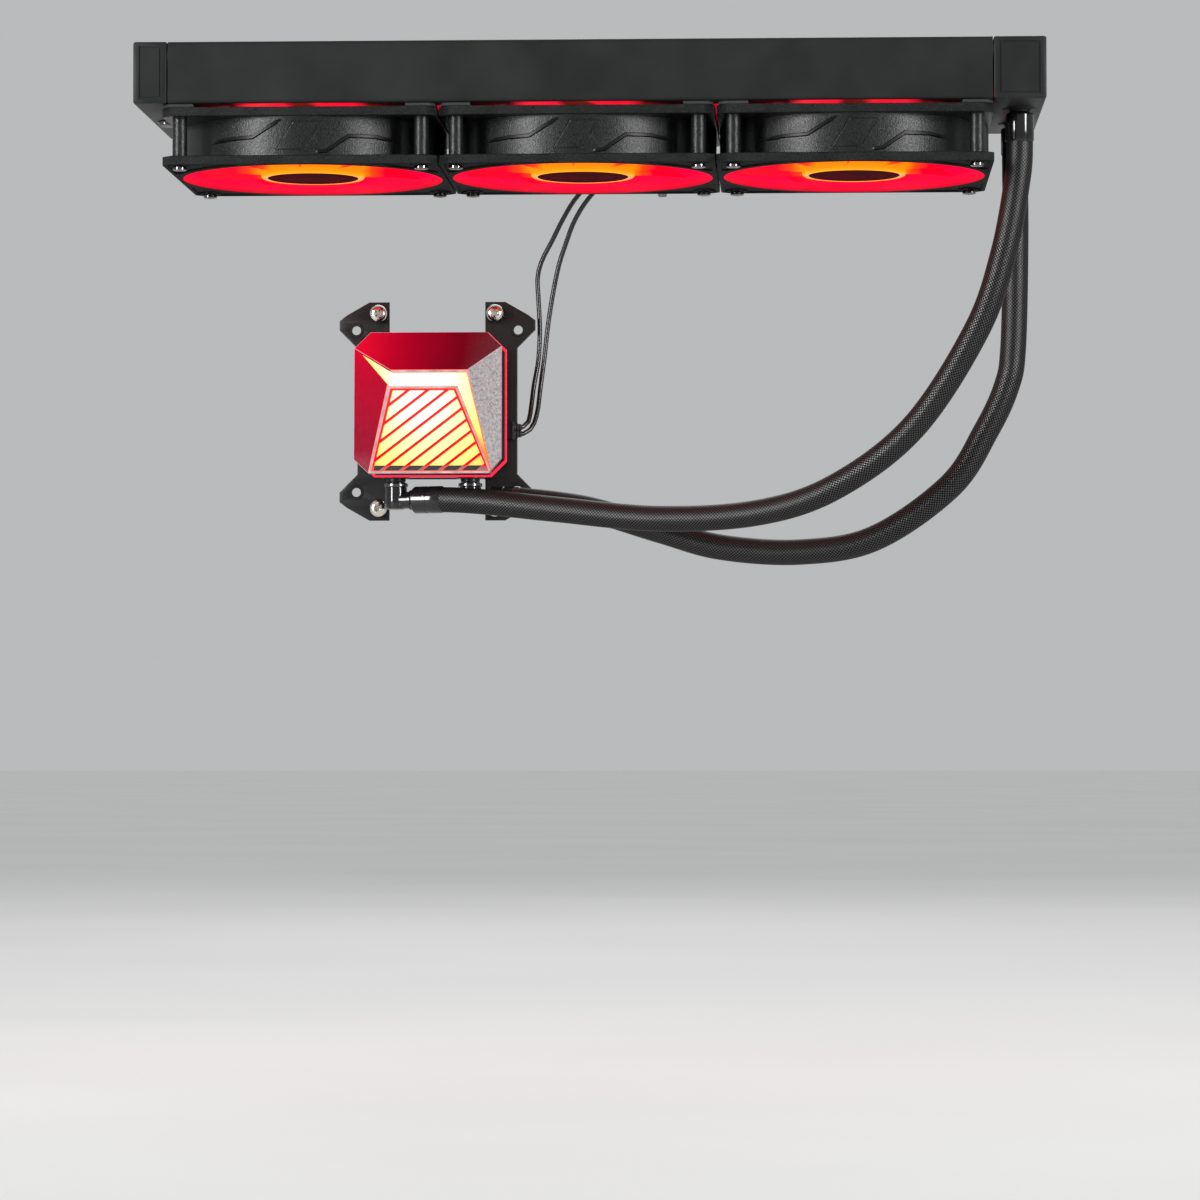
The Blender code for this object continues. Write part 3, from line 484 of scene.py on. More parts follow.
def painted_metal(name, colour, roughness, specular=0.5):
    """Stove paint: fine orange peel over metal, with dust-dulled patches."""
    finish = Finish(name, colour, roughness, 0.25, specular)
    finish.vary(finish.noise(30, 5), 0.2, 0.1)
    return finish.bump(finish.noise(0.9, 2), 0.02, 0.6)


def brushed_metal(name, colour, roughness, direction=(1, 60, 60)):
    """Metal with fine straight brushing."""
    finish = Finish(name, colour, roughness, 1.0)
    streaks = finish.noise(12, 4, direction)
    finish.vary(streaks, 0.18, 0.12)
    return finish.bump(streaks, 0.02, 0.4)


def turned_metal(name, colour, roughness):
    """Bright turned or plated metal with faint smears and fine marks."""
    finish = Finish(name, colour, roughness, 1.0)
    finish.vary(finish.noise(3, 5), 0.12, 0.1)
    return finish.bump(finish.noise(0.25, 2), 0.01, 0.4)


def cast_metal(name, colour, roughness, painted_red_reflection=None):
    """Cast and blasted metal. A painted red reflection (per metre of X, per metre of Y, base) tints its
    colour red and makes it glow red, more where its level is higher.
    """
    finish = Finish(name, colour, roughness, 1.0)
    mottle = finish.noise(1.1, 5)
    finish.vary(mottle, 0.0 if painted_red_reflection else 0.16, 0.16)
    if painted_red_reflection:
        # The painted red reflection: a level across the surface sets how red the colour is and how bright the
        # red glow.
        level = finish.math("ADD", finish.across(painted_red_reflection[0], painted_red_reflection[1]), painted_red_reflection[2])
        level = finish.math("MULTIPLY_ADD", finish.noise(14, 3), 0.14, level)
        finish.drive("Base Color", finish.ramp(
            level, (0.05, (0.11, 0.05, 0.062)), (0.3, (0.08, 0.004, 0.01)), (0.7, (0.07, 0.001, 0.004))))
        finish.glow(1.0, level, (0.05, (0.035, 0.0005, 0.004)), (0.35, (0.13, 0.0, 0.006)),
                    (0.65, (0.36, 0.0005, 0.016)), (0.98, (0.8, 0.004, 0.03)))
    finish.bump(finish.noise(0.5, 2), 0.05, 0.6)
    return finish.bump(mottle, 0.04, 0.6)


def polished_edge_painted_glint(name):
    """Polished metal edges with a painted glint: a pink tint in their colour and a patchy pink glow."""
    finish = Finish(name, (0.85, 0.72, 0.74), 0.2, 1.0)
    wear_and_glint = finish.noise(5, 4)
    finish.vary(wear_and_glint, 0.15, 0.1)
    # Painted glint: the edges glow pink in patches that follow the wear.
    finish.glow(1.0, wear_and_glint, (0.3, (0.08, 0.02, 0.03)), (0.7, (0.3, 0.14, 0.17)))
    return finish.bump(finish.noise(0.4, 2), 0.01, 0.4)


def lit_slat(name):
    """Slats that glow red from the light behind them, and are bare metal past its lower end."""
    bare = (0.4, 0.34, 0.34)
    finish = Finish(name, bare, 0.3, 1.0)
    level = finish.math("MULTIPLY_ADD", finish.noise(6, 3), 0.04, finish.across(0.0, 20.0))
    rise = finish.math("ADD", level, 1.0)
    finish.glow(0.9, rise, (0.42, (0.05, 0.0, 0.002)), (0.46, (0.8, 0.002, 0.03)), (1.0, (1.0, 0.03, 0.05)))
    finish.drive("Base Color", finish.ramp(rise, (0.42, bare), (0.47, (0.1, 0.0, 0.004))))
    finish.vary(finish.noise(1.5, 3), roughness=0.1)
    return finish.bump(finish.noise(0.5, 2), 0.015, 0.5)


def braided_sleeve(name, colour, cells_around, cell):
    """A tight braid: strands cross at each bead, and each strand is a bundle of fine filaments."""
    finish = Finish(name, colour, 0.3)
    node = finish.nodes.new("ShaderNodeUVMap")
    node.uv_map = "weave"
    x, y, _ = finish.axes(node.outputs["UV"])
    around = finish.math("MULTIPLY", x, cells_around)
    along = finish.math("DIVIDE", y, cell * MM)
    rising = finish.math("ADD", around, along)
    falling = finish.math("SUBTRACT", around, along)
    beads = finish.math("MULTIPLY", finish.wave(rising, 1), finish.wave(falling, 1))
    # Painted shade: the valleys between the beads are near black, rougher and without gloss.
    dark = tuple(part * 0.06 for part in colour)
    finish.drive("Base Color", finish.ramp(beads, (0.35, dark), (0.85, colour)))
    finish.drive("Roughness", finish.math("MULTIPLY_ADD", beads, -0.35, 0.6))
    finish.drive("Specular IOR Level", finish.math("MULTIPLY", beads, 0.8))
    return finish.bump(finish.wave(rising, 3), 0.04, 0.5)


def lit_blade(name):
    """Milky plastic lit from the hub: orange at its root, then saturated red, deeper at the tips."""
    finish = Finish(name, (0.1, 0.0006, 0.003), 0.5, specular=0.03)
    finish.vary(finish.noise(9, 3), roughness=0.08)
    x, y, _ = finish.axes()
    squares = finish.math("ADD", finish.math("POWER", x, 2.0), finish.math("POWER", y, 2.0))
    reach = finish.math("DIVIDE", finish.math("SQRT", squares), 60 * MM)
    finish.glow(3.0, finish.math("MULTIPLY_ADD", finish.noise(26, 3), 0.06, reach),
                (0.42, (0.5, 0.1, 0.001)), (0.5, (0.45, 0.022, 0.002)),
                (0.6, (0.42, 0.0004, 0.008)), (0.98, (0.3, 0.0002, 0.007)))
    return finish.bump(finish.noise(0.6, 2), 0.01, 0.4)


def lit_hub(name):
    """The hub's translucent wall: yellow at its lit lip, orange higher up, then red."""
    finish = Finish(name, (0.2, 0.03, 0.002), 0.4, specular=0.04)
    rise = finish.math("MULTIPLY_ADD", finish.axes()[2], 60.0, 0.72)
    finish.glow(1.3, finish.math("MULTIPLY_ADD", finish.noise(12, 3), 0.08, rise),
                (0.03, (1.0, 0.38, 0.006)), (0.12, (1.0, 0.25, 0.003)),
                (0.45, (1.0, 0.12, 0.002)), (0.95, (0.8, 0.02, 0.003)))
    return finish.bump(finish.noise(0.6, 2), 0.01, 0.3)


def lit_bore(name):
    """The bore's wall: black plastic that the blades light red."""
    finish = Finish(name, (0.02, 0.004, 0.004), 0.5, specular=0.1)
    rise = finish.math("MULTIPLY_ADD", finish.axes()[2], 40.0, 0.5)
    finish.glow(1.8, finish.math("MULTIPLY_ADD", finish.noise(18, 3), 0.1, rise),
                (0.02, (0.3, 0.0, 0.008)), (0.2, (0.75, 0.0004, 0.026)),
                (0.8, (0.85, 0.0004, 0.034)), (1.0, (0.6, 0.0, 0.02)))
    return finish.bump(finish.noise(0.7, 2), 0.03, 0.5)


def dim_cap(name):
    """The hub's dark cap, faintly red from the light inside it."""
    finish = Finish(name, (0.01, 0.0006, 0.001), 0.85, specular=0.02)
    clouds = finish.noise(14, 3)
    finish.glow(1.0, clouds, (0.3, (0.02, 0.0002, 0.001)), (0.7, (0.07, 0.0008, 0.004)))
    finish.vary(clouds, roughness=0.1)
    return finish.bump(finish.noise(0.7, 2), 0.02, 0.4)


def rail_glow(name):
    """Black paint lit red in patches, two over each fan with a dark gap at its middle."""
    finish = Finish(name, (0.012, 0.012, 0.013), 0.5, 0.25)
    patches = finish.noise(20, 4)
    finish.vary(patches, 0.2, 0.1)
    turn = 2 * math.pi / (FAN_CENTRES[2].x - FAN_CENTRES[1].x) / MM
    angle = finish.math("MULTIPLY_ADD", finish.across(turn, 0.0), 1.0, -turn * FAN_CENTRES[1].x * MM)
    level = finish.math("MULTIPLY", finish.math("COSINE", angle), 0.8)
    lit = (0.9, 0.001, 0.028)
    finish.glow(1.0, finish.math("MULTIPLY_ADD", patches, 0.15, level),
                (0.1, (0, 0, 0)), (0.4, lit), (0.81, lit), (0.86, (0.02, 0, 0.001)))
    return finish.bump(finish.noise(0.9, 2), 0.02, 0.6)


def fan_lit_paint(name, level, reach):
    """Black paint whose lowest edge, at a level and within reach of the middle, is lit red by the fans."""
    finish = Finish(name, (0.012, 0.012, 0.013), 0.5, 0.25)
    finish.vary(finish.noise(20, 4), 0.25, 0.1)
    rise = finish.math("MULTIPLY", finish.math("SUBTRACT", finish.axes()[2], level * MM), 1 / (8 * MM))
    outside = finish.math("GREATER_THAN", finish.math("ABSOLUTE", finish.across(0.0, 1.0)), reach * MM)
    finish.glow(1.0, finish.math("ADD", rise, outside),
                (0.0, (0.9, 0.001, 0.03)), (0.2, (0.4, 0.0, 0.012)), (1.0, (0, 0, 0)))
    return finish.bump(finish.noise(0.9, 2), 0.02, 0.5)


def glowing(name, colour, strength):
    """A glowing surface with soft unevenness: a lit light guide, or a painted glow on a part that is none."""
    finish = Finish(name, tuple(0.4 * part for part in colour), 0.3)
    finish.glow(strength, finish.noise(9, 3), (0.3, tuple(part * 0.82 for part in colour)), (0.7, colour))
    return finish.bump(finish.noise(0.8, 2), 0.01, 0.3)


def lamp_light(name, x, y, *stops):
    """A lit panel with its lamp behind one spot, (x, y), and colours out to LAMP_REACH."""
    finish = Finish(name, (0.5, 0.25, 0.1), 0.35)
    scale = 1 / (LAMP_REACH * MM)
    size = finish.nodes.new("ShaderNodeVectorMath")
    size.operation = "LENGTH"
    spot = finish.placed(Location=(-x / LAMP_REACH, -y / LAMP_REACH, 0), Scale=(scale, scale, 0))
    finish.links.new(spot, size.inputs[0])
    finish.glow(1.1, finish.math("MULTIPLY_ADD", finish.noise(11, 3), 0.12, size.outputs["Value"]), *stops)
    return finish.bump(finish.noise(0.8, 2), 0.01, 0.3)


LAMP_REACH = 46
BEADS_AROUND = 24
BEAD = 1.5
NEAR_BLACK = (0.006, 0.006, 0.007)

PAINT = painted_metal("radiator_paint", (0.007, 0.0083, 0.008), 0.5, 0.3)
RAIL_GLOW = rail_glow("rail_glow")
FIN_PAINT = fan_lit_paint("fin_paint", CORE_LOW.z, CORE_HIGH.y - 0.7)
FAN_BLACK = moulded_plastic("fan_black", (0.0055, 0.0065, 0.0062), 0.34, 0.65, 0.17, 0.26, 0.75)
FAN_INTAKE = moulded_plastic("fan_intake", (0.006, 0.0055, 0.0055), 0.6, 0.5, 0.05, 0.02, 0.3)
RIDGE_SHADE = moulded_plastic("ridge_shade", (0.0025, 0.0028, 0.0028), 0.3, 0.5, 0.02, 0.12, 0.3)
BORE_GLOW = lit_bore("bore_glow")
HOUSING_BLACK = moulded_plastic("housing_black", NEAR_BLACK, 0.36, specular=0.3)
GLOSS_BLACK = moulded_plastic("gloss_black", NEAR_BLACK, 0.1, 2, 0.004)
RUBBER = moulded_plastic("soft_rubber", (0.01, 0.01, 0.011), 0.7, 0.4)
LEAD_BLACK = moulded_plastic("lead_black", (0.008, 0.008, 0.009), 0.28, 1, 0.01)
CAP_GREY = cast_metal("cap_grey", (0.32, 0.3, 0.305), 0.42)
# The cap's upper and left facets carry a painted red reflection, in their colour and as a glow.
CAP_UPPER_PAINTED_REFLECTION = cast_metal("cap_upper_painted_reflection", (0.1, 0.01, 0.02), 0.45, (-14.0, 3.0, 0.36))
CAP_LEFT_PAINTED_REFLECTION = cast_metal("cap_left_painted_reflection", (0.1, 0.01, 0.02), 0.45, (0.0, 9.0, 0.42))
# Polished edges of the cap, with a painted pink glint.
EDGE_PAINTED_GLINT = polished_edge_painted_glint("edge_painted_glint")
SLAT_FACE = lit_slat("slat_face")
# The slats' side walls and the walls of the cap's openings get a painted red-orange glow.
SLAT_SIDE_PAINTED_GLOW = glowing("slat_side_painted_glow", (1.0, 0.09, 0.004), 1.1)
BRACKET_BLACK = painted_metal("bracket_black", (0.006, 0.0055, 0.0055), 0.36)
NICKEL = turned_metal("nickel", (0.66, 0.62, 0.56), 0.16)
SCREW_BLACK = turned_metal("screw_black", (0.16, 0.16, 0.165), 0.14)
DARK_METAL = turned_metal("dark_metal", (0.12, 0.12, 0.125), 0.22)
COPPER = brushed_metal("copper", (0.78, 0.36, 0.19), 0.22, (60, 1, 1))
COIL = brushed_metal("coil", (0.5, 0.2, 0.07), 0.4)
BRONZE = turned_metal("bronze", (0.5, 0.33, 0.16), 0.4)
STEEL = brushed_metal("steel", (0.5, 0.5, 0.52), 0.3)
BOARD = moulded_plastic("board", (0.015, 0.08, 0.04), 0.35, 1)
PALE_PLASTIC = moulded_plastic("pale_plastic", (0.6, 0.6, 0.58), 0.4)
BLADES = lit_blade("blades")
HUB_WALL = lit_hub("hub_wall")
HUB_CAP = dim_cap("hub_cap")
HUB_RING = glowing("hub_ring", (1.0, 0.2, 0.05), 1.3)
BAND = lamp_light("light_band", -2, 9, (0.3, (1.0, 1.0, 0.84)), (0.48, (1.0, 0.95, 0.4)),
                  (0.68, (1.0, 0.86, 0.14)), (0.94, (1.0, 0.24, 0.01)))
WINDOW_PANEL = lamp_light("window_panel", -3, 1, (0.24, (1.0, 1.0, 0.84)), (0.42, (1.0, 0.96, 0.45)),
                          (0.7, (1.0, 0.8, 0.14)), (0.98, (1.0, 0.32, 0.01)))
RIM = glowing("rim_light", (1.0, 0.006, 0.05), 1.1)
BRAID = braided_sleeve("braid", (0.022, 0.021, 0.021), BEADS_AROUND, BEAD)


# Camera, light and floor ---------------------------------------------------------------------------

def add_camera():
    """The photo's viewpoint: in front, a little to the right and below, with a long lens."""
    lens = bpy.data.cameras.new("camera")
    lens.sensor_width = 36
    lens.lens = 141.97
    lens.clip_end = 100
    camera = link(bpy.data.objects.new("camera", lens))
    camera.location = (0.0994, -2.0883, -0.3027)
    camera.rotation_euler = (math.radians(90 + 1.712), math.radians(0.023), math.radians(2.52))
    bpy.context.scene.camera = camera


def add_area(name, location, target, size, power, spread=180):
    """A large soft lamp that points at a target."""
    lamp = bpy.data.lights.new(name, "AREA")
    lamp.spread = math.radians(spread)
    lamp.shape = "RECTANGLE"
    lamp.size, lamp.size_y = size
    lamp.energy = power
    holder = link(bpy.data.objects.new(name, lamp))
    holder.location = location
    direction = Vector(target) - Vector(location)
    holder.rotation_euler = direction.to_track_quat("-Z", "Y").to_euler()


def floor_finish():
    """Plain pale floor."""
    finish = Finish("pale_floor", (0.8, 0.8, 0.79), 0.6)
    finish.vary(finish.noise(400, 3), 0.02)
    return finish.bump(finish.noise(5, 2), 0.05, 0.2)


def add_studio():
    """Pale floor, pale surroundings and soft lamps."""
    floor = finish_mesh("floor", bar_mesh((-20000, -20000, -450), (20000, 20000, -440)), floor_finish())
    world = bpy.data.worlds.new("studio")
    bpy.context.scene.world = world
    world.use_nodes = True
    sky = world.node_tree.nodes["Background"].inputs
    sky["Color"].default_value = (0.94, 0.95, 0.96, 1)
    sky["Strength"].default_value = 0.52
    add_area("key", (-1.5, -1.5, 0.2), (0, 0, -0.08), (0.4, 1.0), 8.5, 80)
    add_area("fill", (1.6, -1.4, 0.2), (0, 0, -0.08), (0.4, 1.0), 7, 80)
    add_area("back", (0.2, 1.6, 1.1), (0, 0, -0.1), (1.6, 0.8), 8)
    sun = bpy.data.lights.new("overcast", "SUN")
    sun.energy, sun.angle = 0.25, math.radians(60)
    holder = link(bpy.data.objects.new("overcast", sun))
    holder.rotation_euler = (math.radians(25), math.radians(-15), 0)
    bpy.context.scene.view_settings.view_transform = "Standard"


# Hoses and leads -----------------------------------------------------------------------------------
# Routes in metres. The first and last points only set the direction at each end.

HOSE_ROUTES = {
    "front": [
        (0.192, -0.025, -0.030), (0.192, -0.025, -0.0415), (0.191, -0.0246, -0.057),
        (0.1848, -0.0227, -0.090), (0.1732, -0.0189, -0.123), (0.146, -0.010, -0.1645),
        (0.112, 0.0014, -0.190), (0.078, 0.0125, -0.201), (0.033, 0.0273, -0.203), (-0.014, 0.0426, -0.198),
        (-0.050, 0.0542, -0.1937), (-0.0695, 0.0608, -0.1925), (-0.0888, 0.068, -0.1925)],
    "rear": [
        (0.192, 0.025, -0.030), (0.192, 0.025, -0.0415), (0.1922, 0.025, -0.080), (0.191, 0.0252, -0.127),
        (0.188, 0.0257, -0.1445), (0.179, 0.0273, -0.164), (0.163, 0.030, -0.1885), (0.1295, 0.0359, -0.2115),
        (0.096, 0.0417, -0.2175), (0.060, 0.048, -0.215), (0.032, 0.0528, -0.207), (-0.001, 0.0586, -0.197),
        (-0.0345, 0.0644, -0.1925), (-0.0548, 0.068, -0.1925)]}
PUMP_LEAD_ROUTE = [
    (-0.040, 0.086, -0.158), (-0.0355, 0.086, -0.158), (-0.0322, 0.087, -0.1578), (-0.0294, 0.0892, -0.155),
    (-0.0283, 0.092, -0.148), (-0.0272, 0.0945, -0.138), (-0.0252, 0.096, -0.126), (-0.0246, 0.0965, -0.112),
    (-0.0252, 0.0965, -0.098), (-0.0256, 0.096, -0.088), (-0.0235, 0.095, -0.080), (-0.0185, 0.092, -0.071),
    (-0.0135, 0.087, -0.062), (-0.007, 0.079, -0.053), (0.001, 0.071, -0.0475)]
LIGHT_LEAD_ROUTE = [
    (-0.040, 0.086, -0.161), (-0.0355, 0.086, -0.161), (-0.0315, 0.087, -0.1608), (-0.0276, 0.0892, -0.1575),
    (-0.0254, 0.092, -0.150), (-0.0242, 0.0945, -0.139), (-0.0223, 0.096, -0.124), (-0.0208, 0.0965, -0.110),
    (-0.0184, 0.096, -0.095), (-0.0156, 0.095, -0.082), (-0.0125, 0.093, -0.073), (-0.0085, 0.0895, -0.063),
    (-0.0025, 0.084, -0.054), (0.0045, 0.077, -0.0485)]
HANK_LEFT, HANK_RIGHT = 0.014, 0.052
HANK_LEVELS = (-0.050, -0.035, -0.020)
HANK_TURN = 0.0075
HANK_LEAD_IN = 0.012
PLUG_START = 0.038
PUMP_LEAD_PLANE, LIGHT_LEAD_PLANE = 0.066, 0.072
LEAD_STEP = 0.004
LEAD_DIAMETER, HOSE_DIAMETER = 2.2, 11.6
BEAD_RISE = 0.28
SLEEVE_RADIUS = 6.2
TANK_SLEEVE, PUMP_SLEEVE = 12.6, 14.6
SLEEVE_OVERHANG = 1.8
ELBOW_TURNS = {"front": -20.5, "rear": -10}


def hank(start, plane):
    """A lead's route: the given points, then three flat folds behind the middle fan."""
    low, centre, high = HANK_LEVELS
    inward = (HANK_LEFT, HANK_LEFT + HANK_LEAD_IN, HANK_RIGHT - HANK_LEAD_IN, HANK_RIGHT)
    right = arc((HANK_RIGHT, (low + centre) / 2), HANK_TURN, -45, 45, 2)
    left = arc((HANK_LEFT, (centre + high) / 2), HANK_TURN, 225, 135, 2)
    folds = [(x, low) for x in inward] + right + [(x, centre) for x in reversed(inward)] + left
    folds += [(x, high) for x in (HANK_LEFT, HANK_LEFT + 0.010, PLUG_START, PLUG_START + 0.005)]
    return list(start) + [(x, plane, z) for x, z in folds]


def braided_hose(name, route):
    """A braided hose: a tube whose skin is woven from raised beads, two to each turn of the weave."""
    length = length_of(smooth_route(route, 0.004))
    points = smooth_route(route, length / round(length / (BEAD * MM) * 2))
    bm = tube_mesh(points, HOSE_DIAMETER / 2, 2 * BEADS_AROUND, BEAD_RISE)
    hose = add_piece(f"{name}_hose_braid", bm, BRAID, f"{name}_hose", 1)


def lead(name, route, plane, plug):
    """A thin round lead that ends in its plug."""
    points = smooth_route(hank(route, plane), LEAD_STEP)
    bm = tube_mesh(points, LEAD_DIAMETER / 2, 12)
    cable = add_piece(f"{name}_cable", bm, LEAD_BLACK, name)


def crimped_sleeve(node, length, direction, grooves):
    """A hose's end sleeve: a glossy tube with rounded lips and rolled crimps."""
    radius = SLEEVE_RADIUS
    profile = [(0, 0), (radius - 1.1, 0), (radius - 0.5, 0.2), (radius, 0.9)]
    for groove in range(grooves):
        level = length * (groove + 1) / (grooves + 1)
        profile += [(radius, level - 0.7), (radius - 0.35, level - 0.35), (radius - 0.35, level + 0.35),
                    (radius, level + 0.7)]
    profile += [(radius, length - 0.9), (radius - 0.25, length - 0.3), (radius - 0.5, length), (0, length)]
    turn = Vector((0, 0, 1)).rotation_difference(Vector(direction).normalized()).to_matrix().to_4x4()
    start = shift(0, 0, SLEEVE_OVERHANG * grooves - length / 2)
    bm = moved(spun_mesh(profile, 56), shift(*middle(node)) @ turn @ start)
    return add_piece(f"{node}_sleeve", bm, GLOSS_BLACK, node)


def connector(name, plane):
    """A lead's small connector: a keyed block with latch ribs, three sockets and wire entries."""
    low, high = corners(name)
    centre = (low.z + high.z) / 2
    sockets = []
    for offset in (-2.6, 0, 2.6):
        socket = Vector((high.x - 5, plane / MM - 0.65, centre + offset - 0.65))
        sockets.append(bar_mesh(socket, socket + Vector((7, 1.3, 1.3)), 0.1))
    bm = cut(bar_mesh(low, high, 0.4), *sockets)
    for offset in (-3.4, 3.4):
        rib = Vector((low.x + 1.5, low.y - 0.5, centre + offset - 0.4))
        merged(bm, bar_mesh(rib, rib + Vector((8, 0.8, 0.8)), 0.2))
    return add_piece(f"{name}_shell", bm, HOUSING_BLACK, name)


def lead_clip():
    """The moulded clip on the middle fan's back that holds both folded leads."""
    low, high = corners("lead_tie")
    window = bar_mesh(low + Vector((-1, 3, 0.8)), high + Vector((1, -0.8, -0.8)), 0.5)
    groove = bar_mesh((low.x + 1.6, high.y - 0.3, low.z + 6), (high.x - 1.6, high.y + 1, high.z - 6), 0.1)
    bm = cut(bar_mesh(low, high, 0.7), window, groove)
    add_piece("lead_clip", bm, HOUSING_BLACK, "lead_tie")


def lead_gland():
    """The tapered rubber sleeves where both leads leave the pump."""
    profile = [(0, -1.5), (2, -1.5), (2, 0), (1.7, 0.6), (1.9, 1.2), (1.55, 1.8), (1.7, 2.4), (1.35, 3.0),
               (1.15, 3.4), (0, 3.4)]
    parts = [moved(spun_mesh(profile, 20), Matrix.Translation(route[1]) @ turned(90, "Y"))
             for route in (PUMP_LEAD_ROUTE, LIGHT_LEAD_ROUTE)]
    add_piece("lead_gland", merged(*parts), RUBBER, None)


def add_cords():
    """Both hoses and both leads, with the pieces on them."""
    for name, route in HOSE_ROUTES.items():
        turn = math.radians(ELBOW_TURNS[name])
        out = (math.cos(turn), math.sin(turn), 0)
        top = crimped_sleeve(f"{name}_hose_tank_ferrule", TANK_SLEEVE, (0, 0, -1), 0)
        end = crimped_sleeve(f"{name}_hose_pump_ferrule", PUMP_SLEEVE, out, 1)
        braided_hose(name, route)
    lead("pump_lead", PUMP_LEAD_ROUTE, PUMP_LEAD_PLANE, connector("pump_plug", PUMP_LEAD_PLANE))
    lead("light_lead", LIGHT_LEAD_ROUTE, LIGHT_LEAD_PLANE, connector("light_plug", LIGHT_LEAD_PLANE))
    lead_clip()
    lead_gland()


# Radiator ------------------------------------------------------------------------------------------

GROOVE_WIDTH, GROOVE_DEPTH = 0.8, 0.4
SHEET, BEND = 1.2, 1.9
TUBES, TUBE_PITCH, TUBE_HEIGHT = 12, 9.4, 2
HEADER = 3
FIN_PITCH, FIN_SHEET, FIN_GAP = 3.2, 0.12, 0.05
FOLD = [(0.0, 0.0), (0.22, 0.06), (0.78, 0.94)]


def grooved_frame(low, high, axis, at):
    """A cutter for a rectangular groove pressed into the face at a place along an axis."""
    low, high = list(low), list(high)
    low.insert(axis, at - GROOVE_DEPTH)
    high.insert(axis, at + GROOVE_DEPTH)
    inset = [-1 if index == axis else GROOVE_WIDTH for index in range(3)]
    inner = bar_mesh([value + step for value, step in zip(low, inset)],
                     [value - step for value, step in zip(high, inset)])
    return cut(bar_mesh(low, high), inner)


def tank(node, side):
    """A tank with pressed frame lines on its faces, and collars round its ports if it has any."""
    low, high = corners(node)
    bottom = RADIATOR_BOTTOM
    x_low, x_high, y_low, y_high = low.x + 2.6, high.x - 2.6, low.y + 4, high.y - 4
    z_low, z_high = bottom + 2.2, high.z - 2.2
    bm = cut(bar_mesh((low.x, low.y, bottom), high, 1.0),
             grooved_frame((x_low, z_low), (x_high, z_high), 1, low.y),
             grooved_frame((x_low, z_low), (x_high, z_high), 1, high.y),
             grooved_frame((y_low, z_low), (y_high, z_high), 0, high.x if side > 0 else low.x),
             grooved_frame((x_low, y_low), (x_high, y_high), 2, high.z))
    if low.z < bottom - 0.1:
        for name in HOSE_ROUTES:
            port = middle(f"{name}_hose_tank_ferrule")
            collar = spun_mesh([(3, -1.6), (4.2, -1.6), (4.6, -1.2), (4.6, 0.5), (3, 0.5)], 40)
            seam = spun_mesh([(7.4, 0.3), (7.4, -0.25), (7.0, -0.5), (4.6, -0.5), (4.6, 0.3)], 48)
            merged(bm, moved(merged(collar, seam), shift(port.x, port.y, bottom)))
    add_piece(f"{node}_shell", bm, PAINT, node, 40)


def side_rail(node, side):
    """A folded side channel with drawn screw holes."""
    low, high = corners(node)
    outer, flange = (high.y if side > 0 else low.y), high.y - low.y
    bottom, top = low.z + BEND, high.z - BEND
    path = [(flange, low.z), (BEND, low.z), *arc((BEND, bottom), BEND, 270, 180, 6)[1:], (0, top),
            *arc((BEND, top), BEND, 180, 90, 6)[1:], (flange, high.z),
            (flange, high.z - SHEET), (BEND, high.z - SHEET), *arc((BEND, top), BEND - SHEET, 90, 180, 4)[1:],
            (SHEET, bottom), *arc((BEND, bottom), BEND - SHEET, 180, 270, 4)[1:], (flange, low.z + SHEET)]
    bm = lofted([[(x, outer - side * across, up) for across, up in path] for x in (low.x, high.x)])
    holes, lips = [], []
    for number in FAN_NUMBERS:
        for reach in (-SCREW_REACH, SCREW_REACH):
            for level, inward in ((low.z, 1), (high.z, -1)):
                spot = shift(FAN_CENTRES[number].x + reach, side * SCREW_REACH, level)
                holes.append(moved(spun_mesh([(0, -2), (1.75, -2), (1.75, 2), (0, 2)], 24), spot))
                lip = [(1.6, 0.4), (2.5, 0.9), (2.1, 2.6), (1.6, 2.6)]
                lips.append(moved(spun_mesh([(radius, inward * up) for radius, up in lip], 24), spot))
    bm = merged(cut(bm, merged(*holes)), *lips)
    for face in bm.faces:
        in_lowest = face.calc_center_median().z < (low.z + 0.1) * MM
        face.material_index = int(face.normal.z < -0.98 and in_lowest)
    add_piece(f"{node}_channel", bm, PAINT, node, 30, [RAIL_GLOW])


def fin_strip(left, right, low, high, back, front):
    """A folded fin: a zigzag sheet with rounded folds, from back to front along Z."""
    turns = 2 * round((right - left) / FIN_PITCH)
    line = []
    for fold in range(turns):
        for share, level in FOLD:
            up = level if fold % 2 == 0 else 1 - level
            line.append((left + (right - left) * (fold + share) / turns, low + (high - low) * up))
    line.append((right, low))
    rows = []
    for (x, y), along in zip(line, run_of(line)):
        out = Vector((-along.y, along.x)) * FIN_SHEET / 2
        rows.append([(x + sign * out.x, y + sign * out.y, z)
                     for sign, z in ((1, back), (1, front), (-1, front), (-1, back))])
    return lofted(rows)


def radiator_core():
    """Flat tubes between header plates, with folded fins in every gap."""
    left, first, back = CORE_LOW
    right, last, front = CORE_HIGH
    parts, fins = [], []
    for number in range(TUBES):
        low = first + number * TUBE_PITCH
        high = low + TUBE_HEIGHT
        parts.append(bar_mesh((left, low, back + 0.3), (right, high, front - 0.3), 0.6))
        if number < TUBES - 1:
            fins.append(fin_strip(left + HEADER, right - HEADER, high + FIN_GAP, low + TUBE_PITCH - FIN_GAP,
                                  back + 0.2, front - 0.2))
    for x in (left, right - HEADER):
        parts.append(bar_mesh((x, first, back), (x + HEADER, last, front), 0.3))
    add_piece("radiator_tubes", merged(*parts), FIN_PAINT, "radiator_core")
    add_piece("radiator_fins", merged(*fins), FIN_PAINT, "radiator_core", 50)


